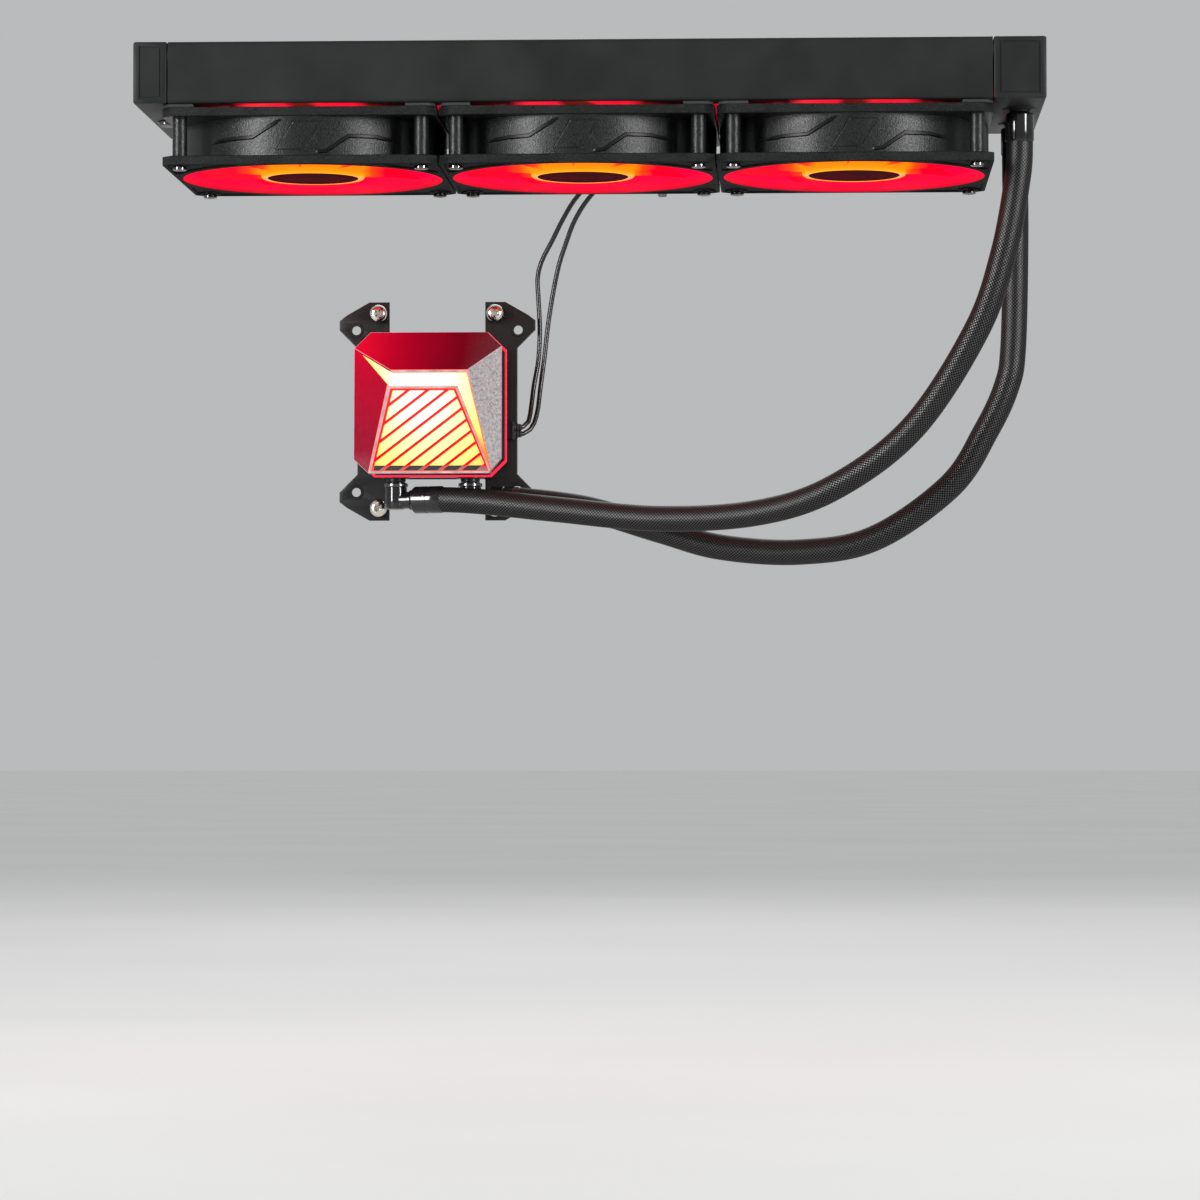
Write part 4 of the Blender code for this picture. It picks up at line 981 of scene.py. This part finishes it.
def fill_plug():
    """The fill plug under the plain tank: a low head with a coin slot and an O-ring."""
    low, high = corners("fill_plug")
    centre = (low + high) / 2
    radius, height = (high.x - low.x) / 2, high.z - low.z
    head = spun_mesh([(0, 0), (radius, 0), (radius, -height * 0.6), (radius - 0.6, -height),
                      (0, -height)], 40)
    slot = bar_mesh((-radius - 1, -0.5, -height - 1), (radius + 1, 0.5, -height + 0.8))
    ring = spun_mesh([(radius - 0.3, 0.25), (radius + 0.5, 0.25), (radius + 0.7, -0.1), (radius + 0.5, -0.4),
                      (radius - 0.3, -0.4)], 40)
    bm = moved(merged(cut(head, slot), ring), shift(centre.x, centre.y, high.z))
    add_piece("fill_plug_head", bm, DARK_METAL, "fill_plug")


def add_radiator():
    """Everything above the fans."""
    tank("left_tank", -1)
    tank("right_tank", 1)
    side_rail("front_rail", -1)
    side_rail("rear_rail", 1)
    radiator_core()
    fill_plug()


# Fans ----------------------------------------------------------------------------------------------
# Drawn round the fan's own middle, with the intake side down.

FLANGE = 4
BORE, BARREL = 57.5, 59.3
POST, SCREW_HOLE = 3.2, 2.2
MOTOR = 21
HUB, HUB_FACE = 23, -11.9
BLADE_TIP, BLADE_COUNT, BLADE_ROOT = 56.3, 9, HUB - 0.8
BLADE_SWEEP, BLADE_REACH, BLADE_RISE, BLADE_LEVEL, BLADE_ARCH = 16, 17.5, 7.6, -2.2, 1.1
STATIONS = CHORDS = 12


def strut_outline():
    """The motor plate with its four struts, slightly turned against the corners."""
    outline = []
    half_width = math.degrees(math.asin(2 / MOTOR))
    for arm in range(4):
        angle = 45 + 12 + 90 * arm
        ray = math.radians(angle)
        along, across = Vector((math.cos(ray), math.sin(ray))), Vector((-math.sin(ray), math.cos(ray)))
        outline += [tuple(along * 58.6 + across * side * 2) for side in (-1, 1)]
        outline += arc((0, 0), MOTOR, angle + half_width, angle + 90 - half_width, 12)
    return outline


def corner_pocket(turn):
    """The outline of the shallow recess in one corner of the intake flange."""
    edge, reach = 57.9, 61.2
    start = math.degrees(math.atan2(math.sqrt(reach * reach - edge * edge), edge)) + 6
    points = arc((0, 0), reach, 90 - start, start, 14)
    points += [(edge, points[-1][1])] + arc((edge - 3, edge - 3), 3, 0, 90, 5) + [(points[0][0], edge)]
    spin = Matrix.Rotation(turn, 2)
    return [tuple(spin @ Vector(point)) for point in points]


def raised_line(points):
    """A moulded ridge on the front of the barrel, from (sideways, up) points, with a long tip."""
    run = []
    for (x0, z0), (x1, z1) in zip(points, points[1:]):
        run += [(x0 + (x1 - x0) * step / 6, z0 + (z1 - z0) * step / 6) for step in range(6)]
    run.append(points[-1])
    section = [(-1.3, -0.5), (-1.3, 0.0), (-0.5, 1.1), (0.6, 1.1), (1.2, 0.0), (1.2, -0.5)]
    rings = []
    for index, ((x, z), along) in enumerate(zip(run, run_of(run))):
        along *= math.copysign(1, along.x)
        size = min(1, (index + 1.2) / 2, (len(run) - 0.2 - index) / 5)
        ring = []
        for across, lift in section:
            u, v = x - along.y * across * size, z + along.x * across * size
            radius = BARREL - 0.5 + max(lift, 0) * size + min(lift, 0)
            angle = math.asin(u / BARREL)
            ring.append((radius * math.sin(angle), -radius * math.cos(angle), v))
        rings.append(ring)
    return lofted(rings)


def engraved_panel():
    """Cutters for the outline of a plain slanted panel on the barrel, between the moulded ridges."""
    outline = [(-10, -6), (2.5, -6), (10, 6), (-2.5, 6)]
    cutters = []
    for (x0, z0), (x1, z1) in zip(outline, outline[1:] + outline[:1]):
        run = []
        for step in range(9):
            share = step * 1.02 / 8 - 0.01
            x, z = x0 + (x1 - x0) * share, z0 + (z1 - z0) * share
            run.append(metres((x, -math.sqrt(BARREL * BARREL - x * x), z)))
        cutters.append(tube_mesh(run, 0.32, 6))
    return cutters


def fan_face_finish(face):
    """Which finish a face of the frame has: 0 plain, 1 lit bore, 2 intake side, 3 shaded ridge."""
    spot = face.calc_center_median() / MM
    out = math.hypot(spot.x, spot.y)
    if abs(out - BORE) < 0.3 and abs(face.normal.z) < 0.3:
        return 1
    if face.normal.z < -0.7 and spot.z < 2 - FAN_HALF:
        return 2
    on_barrel = abs(spot.z) < 8.8 and BARREL + 2 > out and face.normal.z < 0.35
    raised = out > BARREL + 0.3 or (out > BARREL - 0.45 and face.normal.z < -0.35)
    return 3 if on_barrel and raised else 0


def fan_housing_mesh():
    """The frame: flanges, barrel, posts, struts, bearing tube and the moulded lines on the barrel."""
    half = FAN_HALF
    plate = [chamfered(FAN_SIZE, FAN_SIZE, 4.5), circle(BORE + 0.9, 144),
             *[circle(SCREW_HOLE, 24, spot) for spot in FAN_HOLES]]
    posts = [flat_mesh([circle(POST, 36, spot), circle(SCREW_HOLE, 24, spot)], FLANGE - 0.5 - half,
                       half - FLANGE + 0.5) for spot in FAN_HOLES]
    pockets = []
    for quarter in range(4):
        turn = quarter * math.pi / 2
        boss = circle(4.8, 32, tuple(Matrix.Rotation(turn, 2) @ Vector((SCREW_REACH, SCREW_REACH))))
        pockets.append(flat_mesh([corner_pocket(turn), boss], -half - 1, -half + 0.7))
    steps = [("UNION", flat_mesh(plate, half - FLANGE, half, 0.35)),
             ("UNION", merged(*posts)),
             ("UNION", flat_mesh([circle(BARREL, 144), circle(BORE, 144)], -half, half, 0.3)),
             ("UNION", flat_mesh([strut_outline()], half - 2.2, half - 0.2, 0.4)),
             ("DIFFERENCE", merged(*pockets))]
    left = [(-8, 7), (-20.6, -0.3), (-31, -0.5), (-45, -2.2)]
    right = [(7.3, -7.1), (11.8, -6.6), (21.2, 0.1), (32, 0.3), (46, -1.7)]
    for degrees in (0, 180):
        spin = turned(degrees, "Z")
        steps += [("UNION", moved(raised_line(line), spin)) for line in (left, right)]
        steps += [("DIFFERENCE", moved(cutter, spin)) for cutter in engraved_panel()]
    bm = applied(flat_mesh(plate, -half, -half + FLANGE, 0.35), *steps)
    for face in bm.faces:
        face.material_index = fan_face_finish(face)
    return merged(bm, spun_mesh([(5, half - 1), (5, -4), (3.6, -4), (3.6, half - 1)], 32))


def blade(number):
    """One lofted blade: an arched sheet that is thickest near its middle."""
    sheets = ([], [])
    for station in range(STATIONS):
        along = station / (STATIONS - 1)
        radius = BLADE_ROOT + along * (BLADE_TIP - BLADE_ROOT)
        centre = math.radians(360 * number / BLADE_COUNT + BLADE_SWEEP * along ** 1.4)
        reach = math.radians(BLADE_REACH + 2.5 * along - 12 * max(0, along - 0.9))
        for chord in range(CHORDS):
            across = chord / (CHORDS - 1) * 2 - 1
            angle = centre + across * reach
            height = BLADE_LEVEL + across * (BLADE_RISE - 1.6 * along) + BLADE_ARCH * (1 - across * across)
            half = 0.78 - 0.5 * abs(across) ** 1.6
            for sheet, level in zip(sheets, (height + half, height - half)):
                sheet.append((radius * math.cos(angle), radius * math.sin(angle), level))
    bm = bmesh.new()
    top, bottom = [[bm.verts.new(metres(point)) for point in sheet] for sheet in sheets]
    for station in range(STATIONS - 1):
        for chord in range(CHORDS - 1):
            a = station * CHORDS + chord
            quad = (a, a + 1, a + CHORDS + 1, a + CHORDS)
            bm.faces.new([top[i] for i in quad])
            bm.faces.new([bottom[i] for i in reversed(quad)])
    last = (STATIONS - 1) * CHORDS
    rim = [*range(CHORDS), *range(2 * CHORDS - 1, last + CHORDS, CHORDS),
           *range(last + CHORDS - 2, last - 1, -1), *range(last - CHORDS, 0, -CHORDS)]
    for first, second in zip(rim, rim[1:] + rim[:1]):
        bm.faces.new((top[second], top[first], bottom[first], bottom[second]))
    return bm


def hub_part(profile):
    """A part of the hub, from a profile of (radius, height above the hub's face)."""
    return spun_mesh([(radius, HUB_FACE + height) for radius, height in profile], 96)


def cross_cut(bm, size, depth, level, below=True):
    """Cut a cross-head recess into a bmesh, from a level upwards, or downwards if not below."""
    mouth, tip, half = size / 2, size / 5, size * 0.085
    rings = [[(x, y, z) for x, y in ((-reach, -half), (reach, -half), (reach, half), (-reach, half))]
             for reach, z in ((mouth, -1), (tip, depth))]
    spot = shift(0, 0, level) if below else shift(0, 0, level) @ turned(180, "X")
    return cut(bm, *[moved(lofted(rings), spot @ turned(turn, "Z")) for turn in (0, 90)])


def fan_screw_mesh():
    """A pan-head screw with a cross recess. Its head points down, its place is the hole's middle."""
    under, top, tip = -FAN_HALF - 0.3, -FAN_HALF - 1.9, FAN_HALF + 5.5
    profile = [(0, tip), (1.1, tip), (1.5, tip - 0.6), (1.5, under), (2.95, under), (3.05, under - 0.1),
               (3.05, under - 1.1), (2.75, under - 1.4), (1.9, top + 0.05), (1.2, top), (0, top)]
    return cross_cut(spun_mesh(profile, 36), 3.6, 1.2, top)


def pads_mesh():
    """Rubber pads between the fan and the radiator, one round each screw."""
    top, bottom = RADIATOR_BOTTOM - FAN_CENTRES[1].z - 0.05, FAN_HALF + 0.03
    corner = [(46, 59), (46, 47.5), (47.5, 46), (59, 46), (59, 56.5), (56.5, 59)]
    pads = []
    for (x, y), spot in zip(CORNER_SIGNS, FAN_HOLES):
        outline = [(x * u, y * v) for u, v in corner]
        pads.append(flat_mesh([outline, circle(SCREW_HOLE, 20, spot)], bottom, top, 0.3))
    return merged(*pads)


def copy_of(source, name, location):
    """Another object with its own copy of a mesh, at a place in millimetres."""
    twin = bpy.data.objects.new(name, source.data.copy())
    twin.location = metres(location)
    return link(twin)


def add_fans():
    """Three alike fans."""
    hub = hub_part([(0, 1.5), (HUB - 1.5, 1.5), (HUB - 1.5, 17.9), (HUB - 0.4, 17.9), (HUB, 17.5), (HUB, 1.2),
                    (HUB - 0.15, 0.7), (HUB - 0.5, 0.3), (HUB - 1.1, 0), (HUB - 1.5, 0), (HUB - 1.6, 0.6),
                    (0, 0.6)])
    blades = merged(*[blade(number) for number in range(BLADE_COUNT)])
    ring = hub_part([(20.2, 0.2), (HUB - 1.65, 0.2), (HUB - 1.65, 0.55), (20.2, 0.55)])
    cap = hub_part([(0, 0.15), (7, 0.15), (7.2, 0.35), (7.6, 0.35), (7.8, 0.15), (14.9, 0.05), (15.1, 0.2),
                    (15.5, 0.2), (15.7, 0), (19.7, 0), (20.15, 0.25), (20.15, 0.5), (0, 0.5)])
    housing = finish_mesh("m_housing", fan_housing_mesh(), FAN_BLACK, 28,
                          [BORE_GLOW, FAN_INTAKE, RIDGE_SHADE])
    models = [
        ("housing", housing, ROOT, "frame", "fan_plastic"),
        ("hub", finish_mesh("m_hub", hub, HUB_WALL), None, "rotor", "blade_plastic"),
        ("blades", finish_mesh("m_blades", blades, BLADES, 50), None, "rotor", "blade_plastic"),
        ("hub_light", finish_mesh("m_ring", ring, HUB_RING), None, "rotor", "blade_plastic"),
        ("hub_cap", finish_mesh("m_cap", cap, HUB_CAP), None, "rotor", "blade_plastic"),
        ("pads", finish_mesh("m_pads", pads_mesh(), RUBBER), ROOT, None, "seal_rubber")]
    screw = finish_mesh("m_screw", fan_screw_mesh(), SCREW_BLACK, 40)
    for number in FAN_NUMBERS:
        centre = FAN_CENTRES[number]
        for label, model, body, node, slot in models:
            piece = copy_of(model, f"fan_{number}_{label}", centre)
            place(piece, body or f"fan_{number}_wheel", f"fan_{number}_{node}" if node else None)
        for place_number in (1, 2, 3, 4):
            node = f"fan_{number}_screw_{place_number}"
            spot = middle(node)
            place(copy_of(screw, f"{node}_head", (spot.x, spot.y, centre.z)), ROOT, node)
    for model in [entry[1] for entry in models] + [screw]:
        bpy.data.objects.remove(model)


# Pump head -----------------------------------------------------------------------------------------
# Drawn in the pump's own frame: x right, y up, z out from the cold plate.

CAP_RIM = [(-26.8, 33), (26.4, 33), (34.0, 25.6), (34.7, 24.9), (34.7, -25.8),
           (27.8, -32.7), (-25.6, -32.7), (-33.4, -25.4), (-34.5, -24.4), (-34.5, 25.2)]
CAP_SHELL = [(-27, 33), (26.1, 33), (32.7, 26.4), (32.7, -24.6), (27.2, -31.4), (-27.5, -31.4),
             (-34.2, -25.2), (-34.2, 25.6)]
CAP_FRONT = [(-17.4, 15.4), (17.4, 15.4), (28.4, -31.4), (-27.6, -31.4)]
CAP_TOP, CAP_EDGE, CAP_BACK = 57, 50.6, 48.6
LIGHT_BAND = [(-30.6, 22.6), (-17.0, 14.2), (17.0, 14.2), (27.6, -29), (12.9, 8.1), (-18, 8.1)]
WINDOW = [(-17.4, 6.9), (12.1, 6.9), (27.0, -30.4), (-26.1, -30.4)]
SLATTED = [(-17.2, 6.9), (11.9, 6.9), (27.0, -30.9), (-26.1, -30.9)]
PANEL = [(-17.0, 7.4), (12.6, 7.4), (25.8, -27.7), (-25.5, -27.7)]
PANEL_FOOT = [(-25.9, -27.9), (26.2, -27.9), (27.0, -30.8), (-26.6, -30.8)]
SLAT_SLOPE = math.radians(37.5)
SLAT_PITCH, SLAT_WIDTH, SLAT_EDGE = 5.35, 1.3, 0.06
SLAT_NUMBERS = range(-8, 8)
GAP_FRONT, GAP_BACK, GAP_INSET, SMALLEST_GAP = (0.2, 58), (-0.15, 54.6), 0.75, 3
THROUGH = (45, 60)
BODY_BACK, BODY_FRONT = 9, 47
PLATE_SCREWS = (-24.6, 0, 24.6)
THREAD_START, THREAD_END, THREAD_PITCH = 2.5, -5, 0.7
BRACKET_SCREWS = [(-27, 45), (27, 45), (27, -45), (-27, -45)]
EAR_HOLE = 37.5
SCREW_HEAD_TOP, SPRING_FOOT, SPRING_LENGTH = 15, 8.95, 2.7
ELBOW_SPREAD, ELBOW_OUT, ELBOW_LEVEL, ELBOW_TOP = 17, 32, 42.5, 8.2
SAME_PLANE = 0.05


def pump_piece(name, bm, material, node, angle=35, extra=()):
    """A piece drawn in the pump's frame."""
    piece = finish_mesh(name, bm, material, angle, extra)
    piece.matrix_world = PUMP_FRAME
    return place(piece, ROOT, node)


def cap_facets():
    """A point and the outward normal of each sloping facet of the cap: upper, left and right."""
    left, right = Vector((*CAP_FRONT[0], CAP_TOP)), Vector((*CAP_FRONT[1], CAP_TOP))
    fall = (CAP_TOP - CAP_EDGE) / (CAP_SHELL[0][1] - CAP_FRONT[0][1])
    facets = [(left, Vector((0, fall, 1)).normalized())]
    for corner, foot, end in ((left, CAP_FRONT[3], CAP_SHELL[7]), (right, CAP_FRONT[2], CAP_SHELL[2])):
        low = Vector((*end, CAP_TOP - fall * (end[1] - corner.y)))
        normal = (Vector((*foot, CAP_TOP)) - corner).cross(low - corner).normalized()
        facets.append((corner, normal if normal.z > 0 else -normal))
    return facets


def cap_solid(shrink, back):
    """The faceted cap shape, drawn in by shrink: an eight-sided block with three sides planed off."""
    bm = flat_mesh([grown(CAP_SHELL, -shrink)], back, CAP_TOP - shrink)
    for point, normal in cap_facets():
        everything = bm.verts[:] + bm.edges[:] + bm.faces[:]
        bmesh.ops.bisect_plane(bm, geom=everything, dist=1e-7, plane_co=metres(point - normal * shrink),
                               plane_no=normal, clear_outer=True)
    return hull_mesh([vertex.co.copy() for vertex in bm.verts], 1)


def slat_gaps():
    """The openings between the slanted slats of the window, each wider in front than behind."""
    normal = (-math.sin(SLAT_SLOPE), math.cos(SLAT_SLOPE))
    gaps = []
    for number in SLAT_NUMBERS:
        points = []
        for wider, level in (GAP_FRONT, GAP_BACK):
            low = number * SLAT_PITCH + SLAT_WIDTH / 2 - wider
            high = (number + 1) * SLAT_PITCH - SLAT_WIDTH / 2 + wider
            above = clipped(grown(SLATTED, wider - GAP_INSET), (-normal[0], -normal[1]), -low)
            piece = clipped(above, normal, high) if len(above) > 2 else []
            if len(piece) > 2 and max(x for x, _ in piece) - min(x for x, _ in piece) > SMALLEST_GAP:
                points += [(x, y, level) for x, y in piece]
        if points:
            gaps.append(hull_mesh(points))
    return gaps


def in_cap_opening(face):
    """Whether a face of the cap's front lines one of its openings."""
    spot = face.calc_center_median() / MM
    return spot.z > 50.5 and abs(spot.x) < 31 and abs(spot.x) + abs(spot.y) < 54.5 and -31 < spot.y < 16


def cap_shell_mesh():
    """The thin faceted cap with openings for its light band and window. Its cut edges and flat front carry a
    painted glint, and the walls of its openings a painted glow.
    """
    shell = cap_solid(0, CAP_BACK)
    bmesh.ops.dissolve_limit(shell, angle_limit=math.radians(1), verts=shell.verts, edges=shell.edges)
    sharp = [edge for edge in shell.edges
             if len(edge.link_faces) == 2 and edge.calc_face_angle(0) > math.radians(5)]
    bmesh.ops.bevel(shell, geom=sharp, offset=0.4 * MM, segments=1, profile=0.5, affect="EDGES",
                    clamp_overlap=True)
    bm = cut(shell, cap_solid(1.5, 40), flat_mesh([LIGHT_BAND], *THROUGH), flat_mesh([WINDOW], *THROUGH))
    openings = [face for face in bm.faces if abs(face.normal.z) < 0.02 and in_cap_opening(face)]
    rims = {edge for face in openings for edge in face.edges
            if any(other.normal.z > 0.5 for other in edge.link_faces)}
    bmesh.ops.bevel(bm, geom=list(rims), offset=0.3 * MM, segments=1, affect="EDGES", clamp_overlap=True)
    # Faces of the upper and left facets take the painted red reflection. Faces lining the openings take the
    # painted glow. The flat front and the bevels take the polished metal with its painted glint.
    planes = [normal for _, normal in cap_facets()] + [Vector((0, 0, 1))]
    for face in bm.faces:
        turns = [face.normal.angle(plane) for plane in planes]
        nearest = turns.index(min(turns))
        if in_cap_opening(face) and min(turns) > SAME_PLANE:
            face.material_index = 2
        elif min(turns) < SAME_PLANE:
            face.material_index = (3, 4, 0, 1)[nearest]
        elif face.normal.z > 0.05:
            face.material_index = 1
    return bm


def pump_cap():
    """The cap's shell, its slats and the dark gap behind it."""
    pump_piece("pump_cap_shell", cap_shell_mesh(), CAP_GREY, "pump_cap", 4,
               [EDGE_PAINTED_GLINT, SLAT_SIDE_PAINTED_GLOW, CAP_UPPER_PAINTED_REFLECTION, CAP_LEFT_PAINTED_REFLECTION])
    slats = cut(flat_mesh([grown(WINDOW, -SLAT_EDGE)], 55.4, 56.85), *slat_gaps())
    # The side walls of the slats take the painted glow.
    for face in slats.faces:
        face.material_index = int(0.02 < abs(face.normal.z) < 0.98)
    pump_piece("pump_window_slats", slats, SLAT_FACE, None, 10, [SLAT_SIDE_PAINTED_GLOW])
    trim = flat_mesh([grown(CAP_RIM, -0.85), grown(CAP_SHELL, -4)], 47.6, 48.7)
    pump_piece("pump_cap_shadow_gap", trim, HOUSING_BLACK, None)


def pump_lights():
    """The lit panel behind the slats, its dark foot, the lit band round the window and the lit lip."""
    lit = hull_mesh([(x, y, z) for x, y in PANEL for z in (52.6, 55.2)])
    pump_piece("pump_window_light", lit, WINDOW_PANEL, "light_guide")
    dark = hull_mesh([(x, y, z) for x, y in PANEL_FOOT for z in (52.0, 54.6)])
    pump_piece("pump_window_foot", dark, DARK_METAL, None)
    band = applied(cap_solid(1.6, 48.7), ("INTERSECT", flat_mesh([LIGHT_BAND], *THROUGH)))
    pump_piece("pump_band_light", band, BAND, "light_guide")
    lip = flat_mesh([CAP_RIM, grown(CAP_RIM, -3)], 47.0, 47.55, 0.1)
    pump_piece("pump_rim_light", lip, RIM, "light_guide")


def pump_body():
    """The pump's housing: block, boss, ribs, port stubs and gland."""
    steps = [("UNION", flat_mesh([chamfered(53, 53, 5)], 4.6, 10)),
             ("UNION", flat_mesh([chamfered(67, 64.4, 7.4)], 44.6, BODY_FRONT, 0.4)),
             ("UNION", bar_mesh((32, -13.6, 11.6), (36, -5.4, 16.4), 0.6))]
    for level in (16, 40):
        ring = flat_mesh([chamfered(70, 67, 7), chamfered(63.9, 60.9, 6.8)], level, level + 0.8)
        steps.append(("DIFFERENCE", ring))
    for side in (-1, 1):
        spot = shift(side * ELBOW_SPREAD, -34, ELBOW_OUT) @ turned(-90, "X")
        stub = spun_mesh([(0, 0), (4.4, 0), (4.4, 4), (0, 4)], 40)
        ring = spun_mesh([(4, 1.4), (6.4, 1.4), (6.4, 4), (4, 4)], 40)
        steps += [("UNION", moved(stub, spot)), ("UNION", moved(ring, spot))]
    bm = applied(flat_mesh([chamfered(65, 62, 7)], BODY_BACK, BODY_FRONT, 0.6), *steps)
    pump_piece("pump_body", bm, HOUSING_BLACK, "pump_housing", 30)


def contact_plate():
    """The copper contact plate with its ring of countersunk screws."""
    sinks, heads = [], []
    for x in PLATE_SCREWS:
        for y in PLATE_SCREWS:
            if x or y:
                spot = shift(x, y)
                sink = spun_mesh([(0, -1), (2.3, -1), (2.3, 0.2), (1.2, 1.3), (0, 1.3)], 28)
                sinks.append(moved(sink, spot))
                head = spun_mesh([(0, 0.35), (2.0, 0.35), (2.1, 0.5), (1.1, 1.5), (0, 1.5)], 28)
                heads.append(moved(cross_cut(head, 2.4, 0.8, 0.3), spot))
    bm = cut(flat_mesh([chamfered(56, 56, 4)], 0, 3, 0.3), merged(*sinks))
    pump_piece("contact_plate", bm, COPPER, "cold_plate", 30)
    pump_piece("contact_plate_screws", merged(*heads), DARK_METAL, None, 30)


def bracket():
    """The steel bracket with an ear at each corner."""
    quarter = [(22.2, 31.5), (22.2, 50.6), (31.5, 50.6), (42, 44.6), (45.4, 42), (45.4, 37.6), (37.1, 29.2)]
    outline = quarter + [(x, -y) for x, y in reversed(quarter)]
    outline += [(-x, -y) for x, y in quarter] + [(-x, y) for x, y in reversed(quarter)]
    holes, collars = [chamfered(54, 54, 5)], []
    for x, y in CORNER_SIGNS:
        holes.append(circle(2.5, 28, (x * 27, y * 45)))
        holes.append(circle(2.1, 24, (x * EAR_HOLE, y * EAR_HOLE)))
        collar = spun_mesh([(2.1, 8.3), (3.3, 8.3), (3.1, 8.9), (2.1, 8.9)], 32)
        collars.append(moved(collar, shift(x * EAR_HOLE, y * EAR_HOLE)))
    bm = merged(flat_mesh([outline, *holes], 6.5, 8.5, 0.3), *collars)
    pump_piece("bracket_plate", bm, BRACKET_BLACK, "mounting_bracket", 30)


def bracket_screws():
    """Four captive screws with their springs."""
    profile = [(0, 15), (1.6, 15), (2.6, 14.8), (3.5, 14.2), (3.95, 13.4), (4, 12.2), (3.8, 12), (1.8, 12),
               (1.8, 8)]
    level = THREAD_START
    while level > THREAD_END:
        profile += [(1.85, level), (1.5, level - THREAD_PITCH / 2)]
        level -= THREAD_PITCH
    profile += [(1.3, -6), (0, -6)]
    for number, (x, y) in enumerate(BRACKET_SCREWS, 1):
        spot = shift(x, y)
        bm = cross_cut(spun_mesh(profile, 40), 5.0, 1.6, SCREW_HEAD_TOP, below=False)
        moved(bm, spot @ turned(25 + 31 * number, "Z"))
        node = f"bracket_screw_{number}"
        pump_piece(f"{node}_head", bm, NICKEL, node, 40)
        coil = []
        for step in range(73):
            turn = 2 * math.pi * step / 24
            height = SPRING_FOOT + SPRING_LENGTH * step / 72
            coil.append(metres((2.7 * math.cos(turn), 2.7 * math.sin(turn), height)))
        spring = moved(tube_mesh(coil, 0.35, 8), spot)
        pump_piece(f"bracket_spring_{number}", spring, NICKEL, None)


def elbows():
    """The two swivel elbows under the pump with their dark metal collars."""
    top = ELBOW_TOP
    for name, side in (("front", -1), ("rear", 1)):
        spot = shift(PUMP.x + side * ELBOW_SPREAD, PUMP.y - ELBOW_OUT, PUMP.z - ELBOW_LEVEL)
        body = spun_mesh([(0, -4.2), (3.4, -4.2), (4.4, -3.8), (4.95, -2.6), (5, 0), (5, top - 2.4),
                          (4.6, top - 2.2), (4.6, top - 0.3), (4.3, top), (0, top)], 48)
        arm = spun_mesh([(0, -5.4), (2.0, -5.4), (2.6, -5.0), (2.9, -4.2), (3.4, -3), (3.9, -2), (3.9, 7.2),
                         (4.6, 7.6), (4.6, 8.6), (4.3, 9), (0, 9)], 48)
        turn = turned(ELBOW_TURNS[name], "Z") @ turned(90, "Y")
        bm = moved(applied(body, ("UNION", moved(arm, turn))), spot)
        add_piece(f"{name}_elbow_body", bm, GLOSS_BLACK, f"{name}_elbow", 30)
        collar = spun_mesh([(4.5, top - 2.1), (5.3, top - 2.1), (5.5, top - 1.8), (5.5, top - 0.8),
                            (5.3, top - 0.5), (4.5, top - 0.5)], 48)
        add_piece(f"{name}_elbow_collar", moved(collar, spot), DARK_METAL, None, 30)


def add_pump():
    """The pump head with its bracket and elbows."""
    pump_cap()
    pump_lights()
    pump_body()
    contact_plate()
    bracket()
    bracket_screws()
    elbows()


def finish_hidden_parts():
    """Give the parts inside the fans and the pump their finishes."""
    chosen = {"plate_seal": RUBBER, "impeller": PALE_PLASTIC, "impeller_shaft": STEEL, "pump_stator": COIL,
              "pump_board": BOARD}
    for part, finish in (("yoke", STEEL), ("bearing", BRONZE), ("stator", COIL)):
        chosen.update({f"fan_{number}_{part}": finish for number in FAN_NUMBERS})
    for node, finish in chosen.items():
        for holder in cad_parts[node].material_slots:
            holder.material = finish


add_camera()
add_cords()
add_radiator()
add_fans()
add_pump()
finish_hidden_parts()
add_studio()
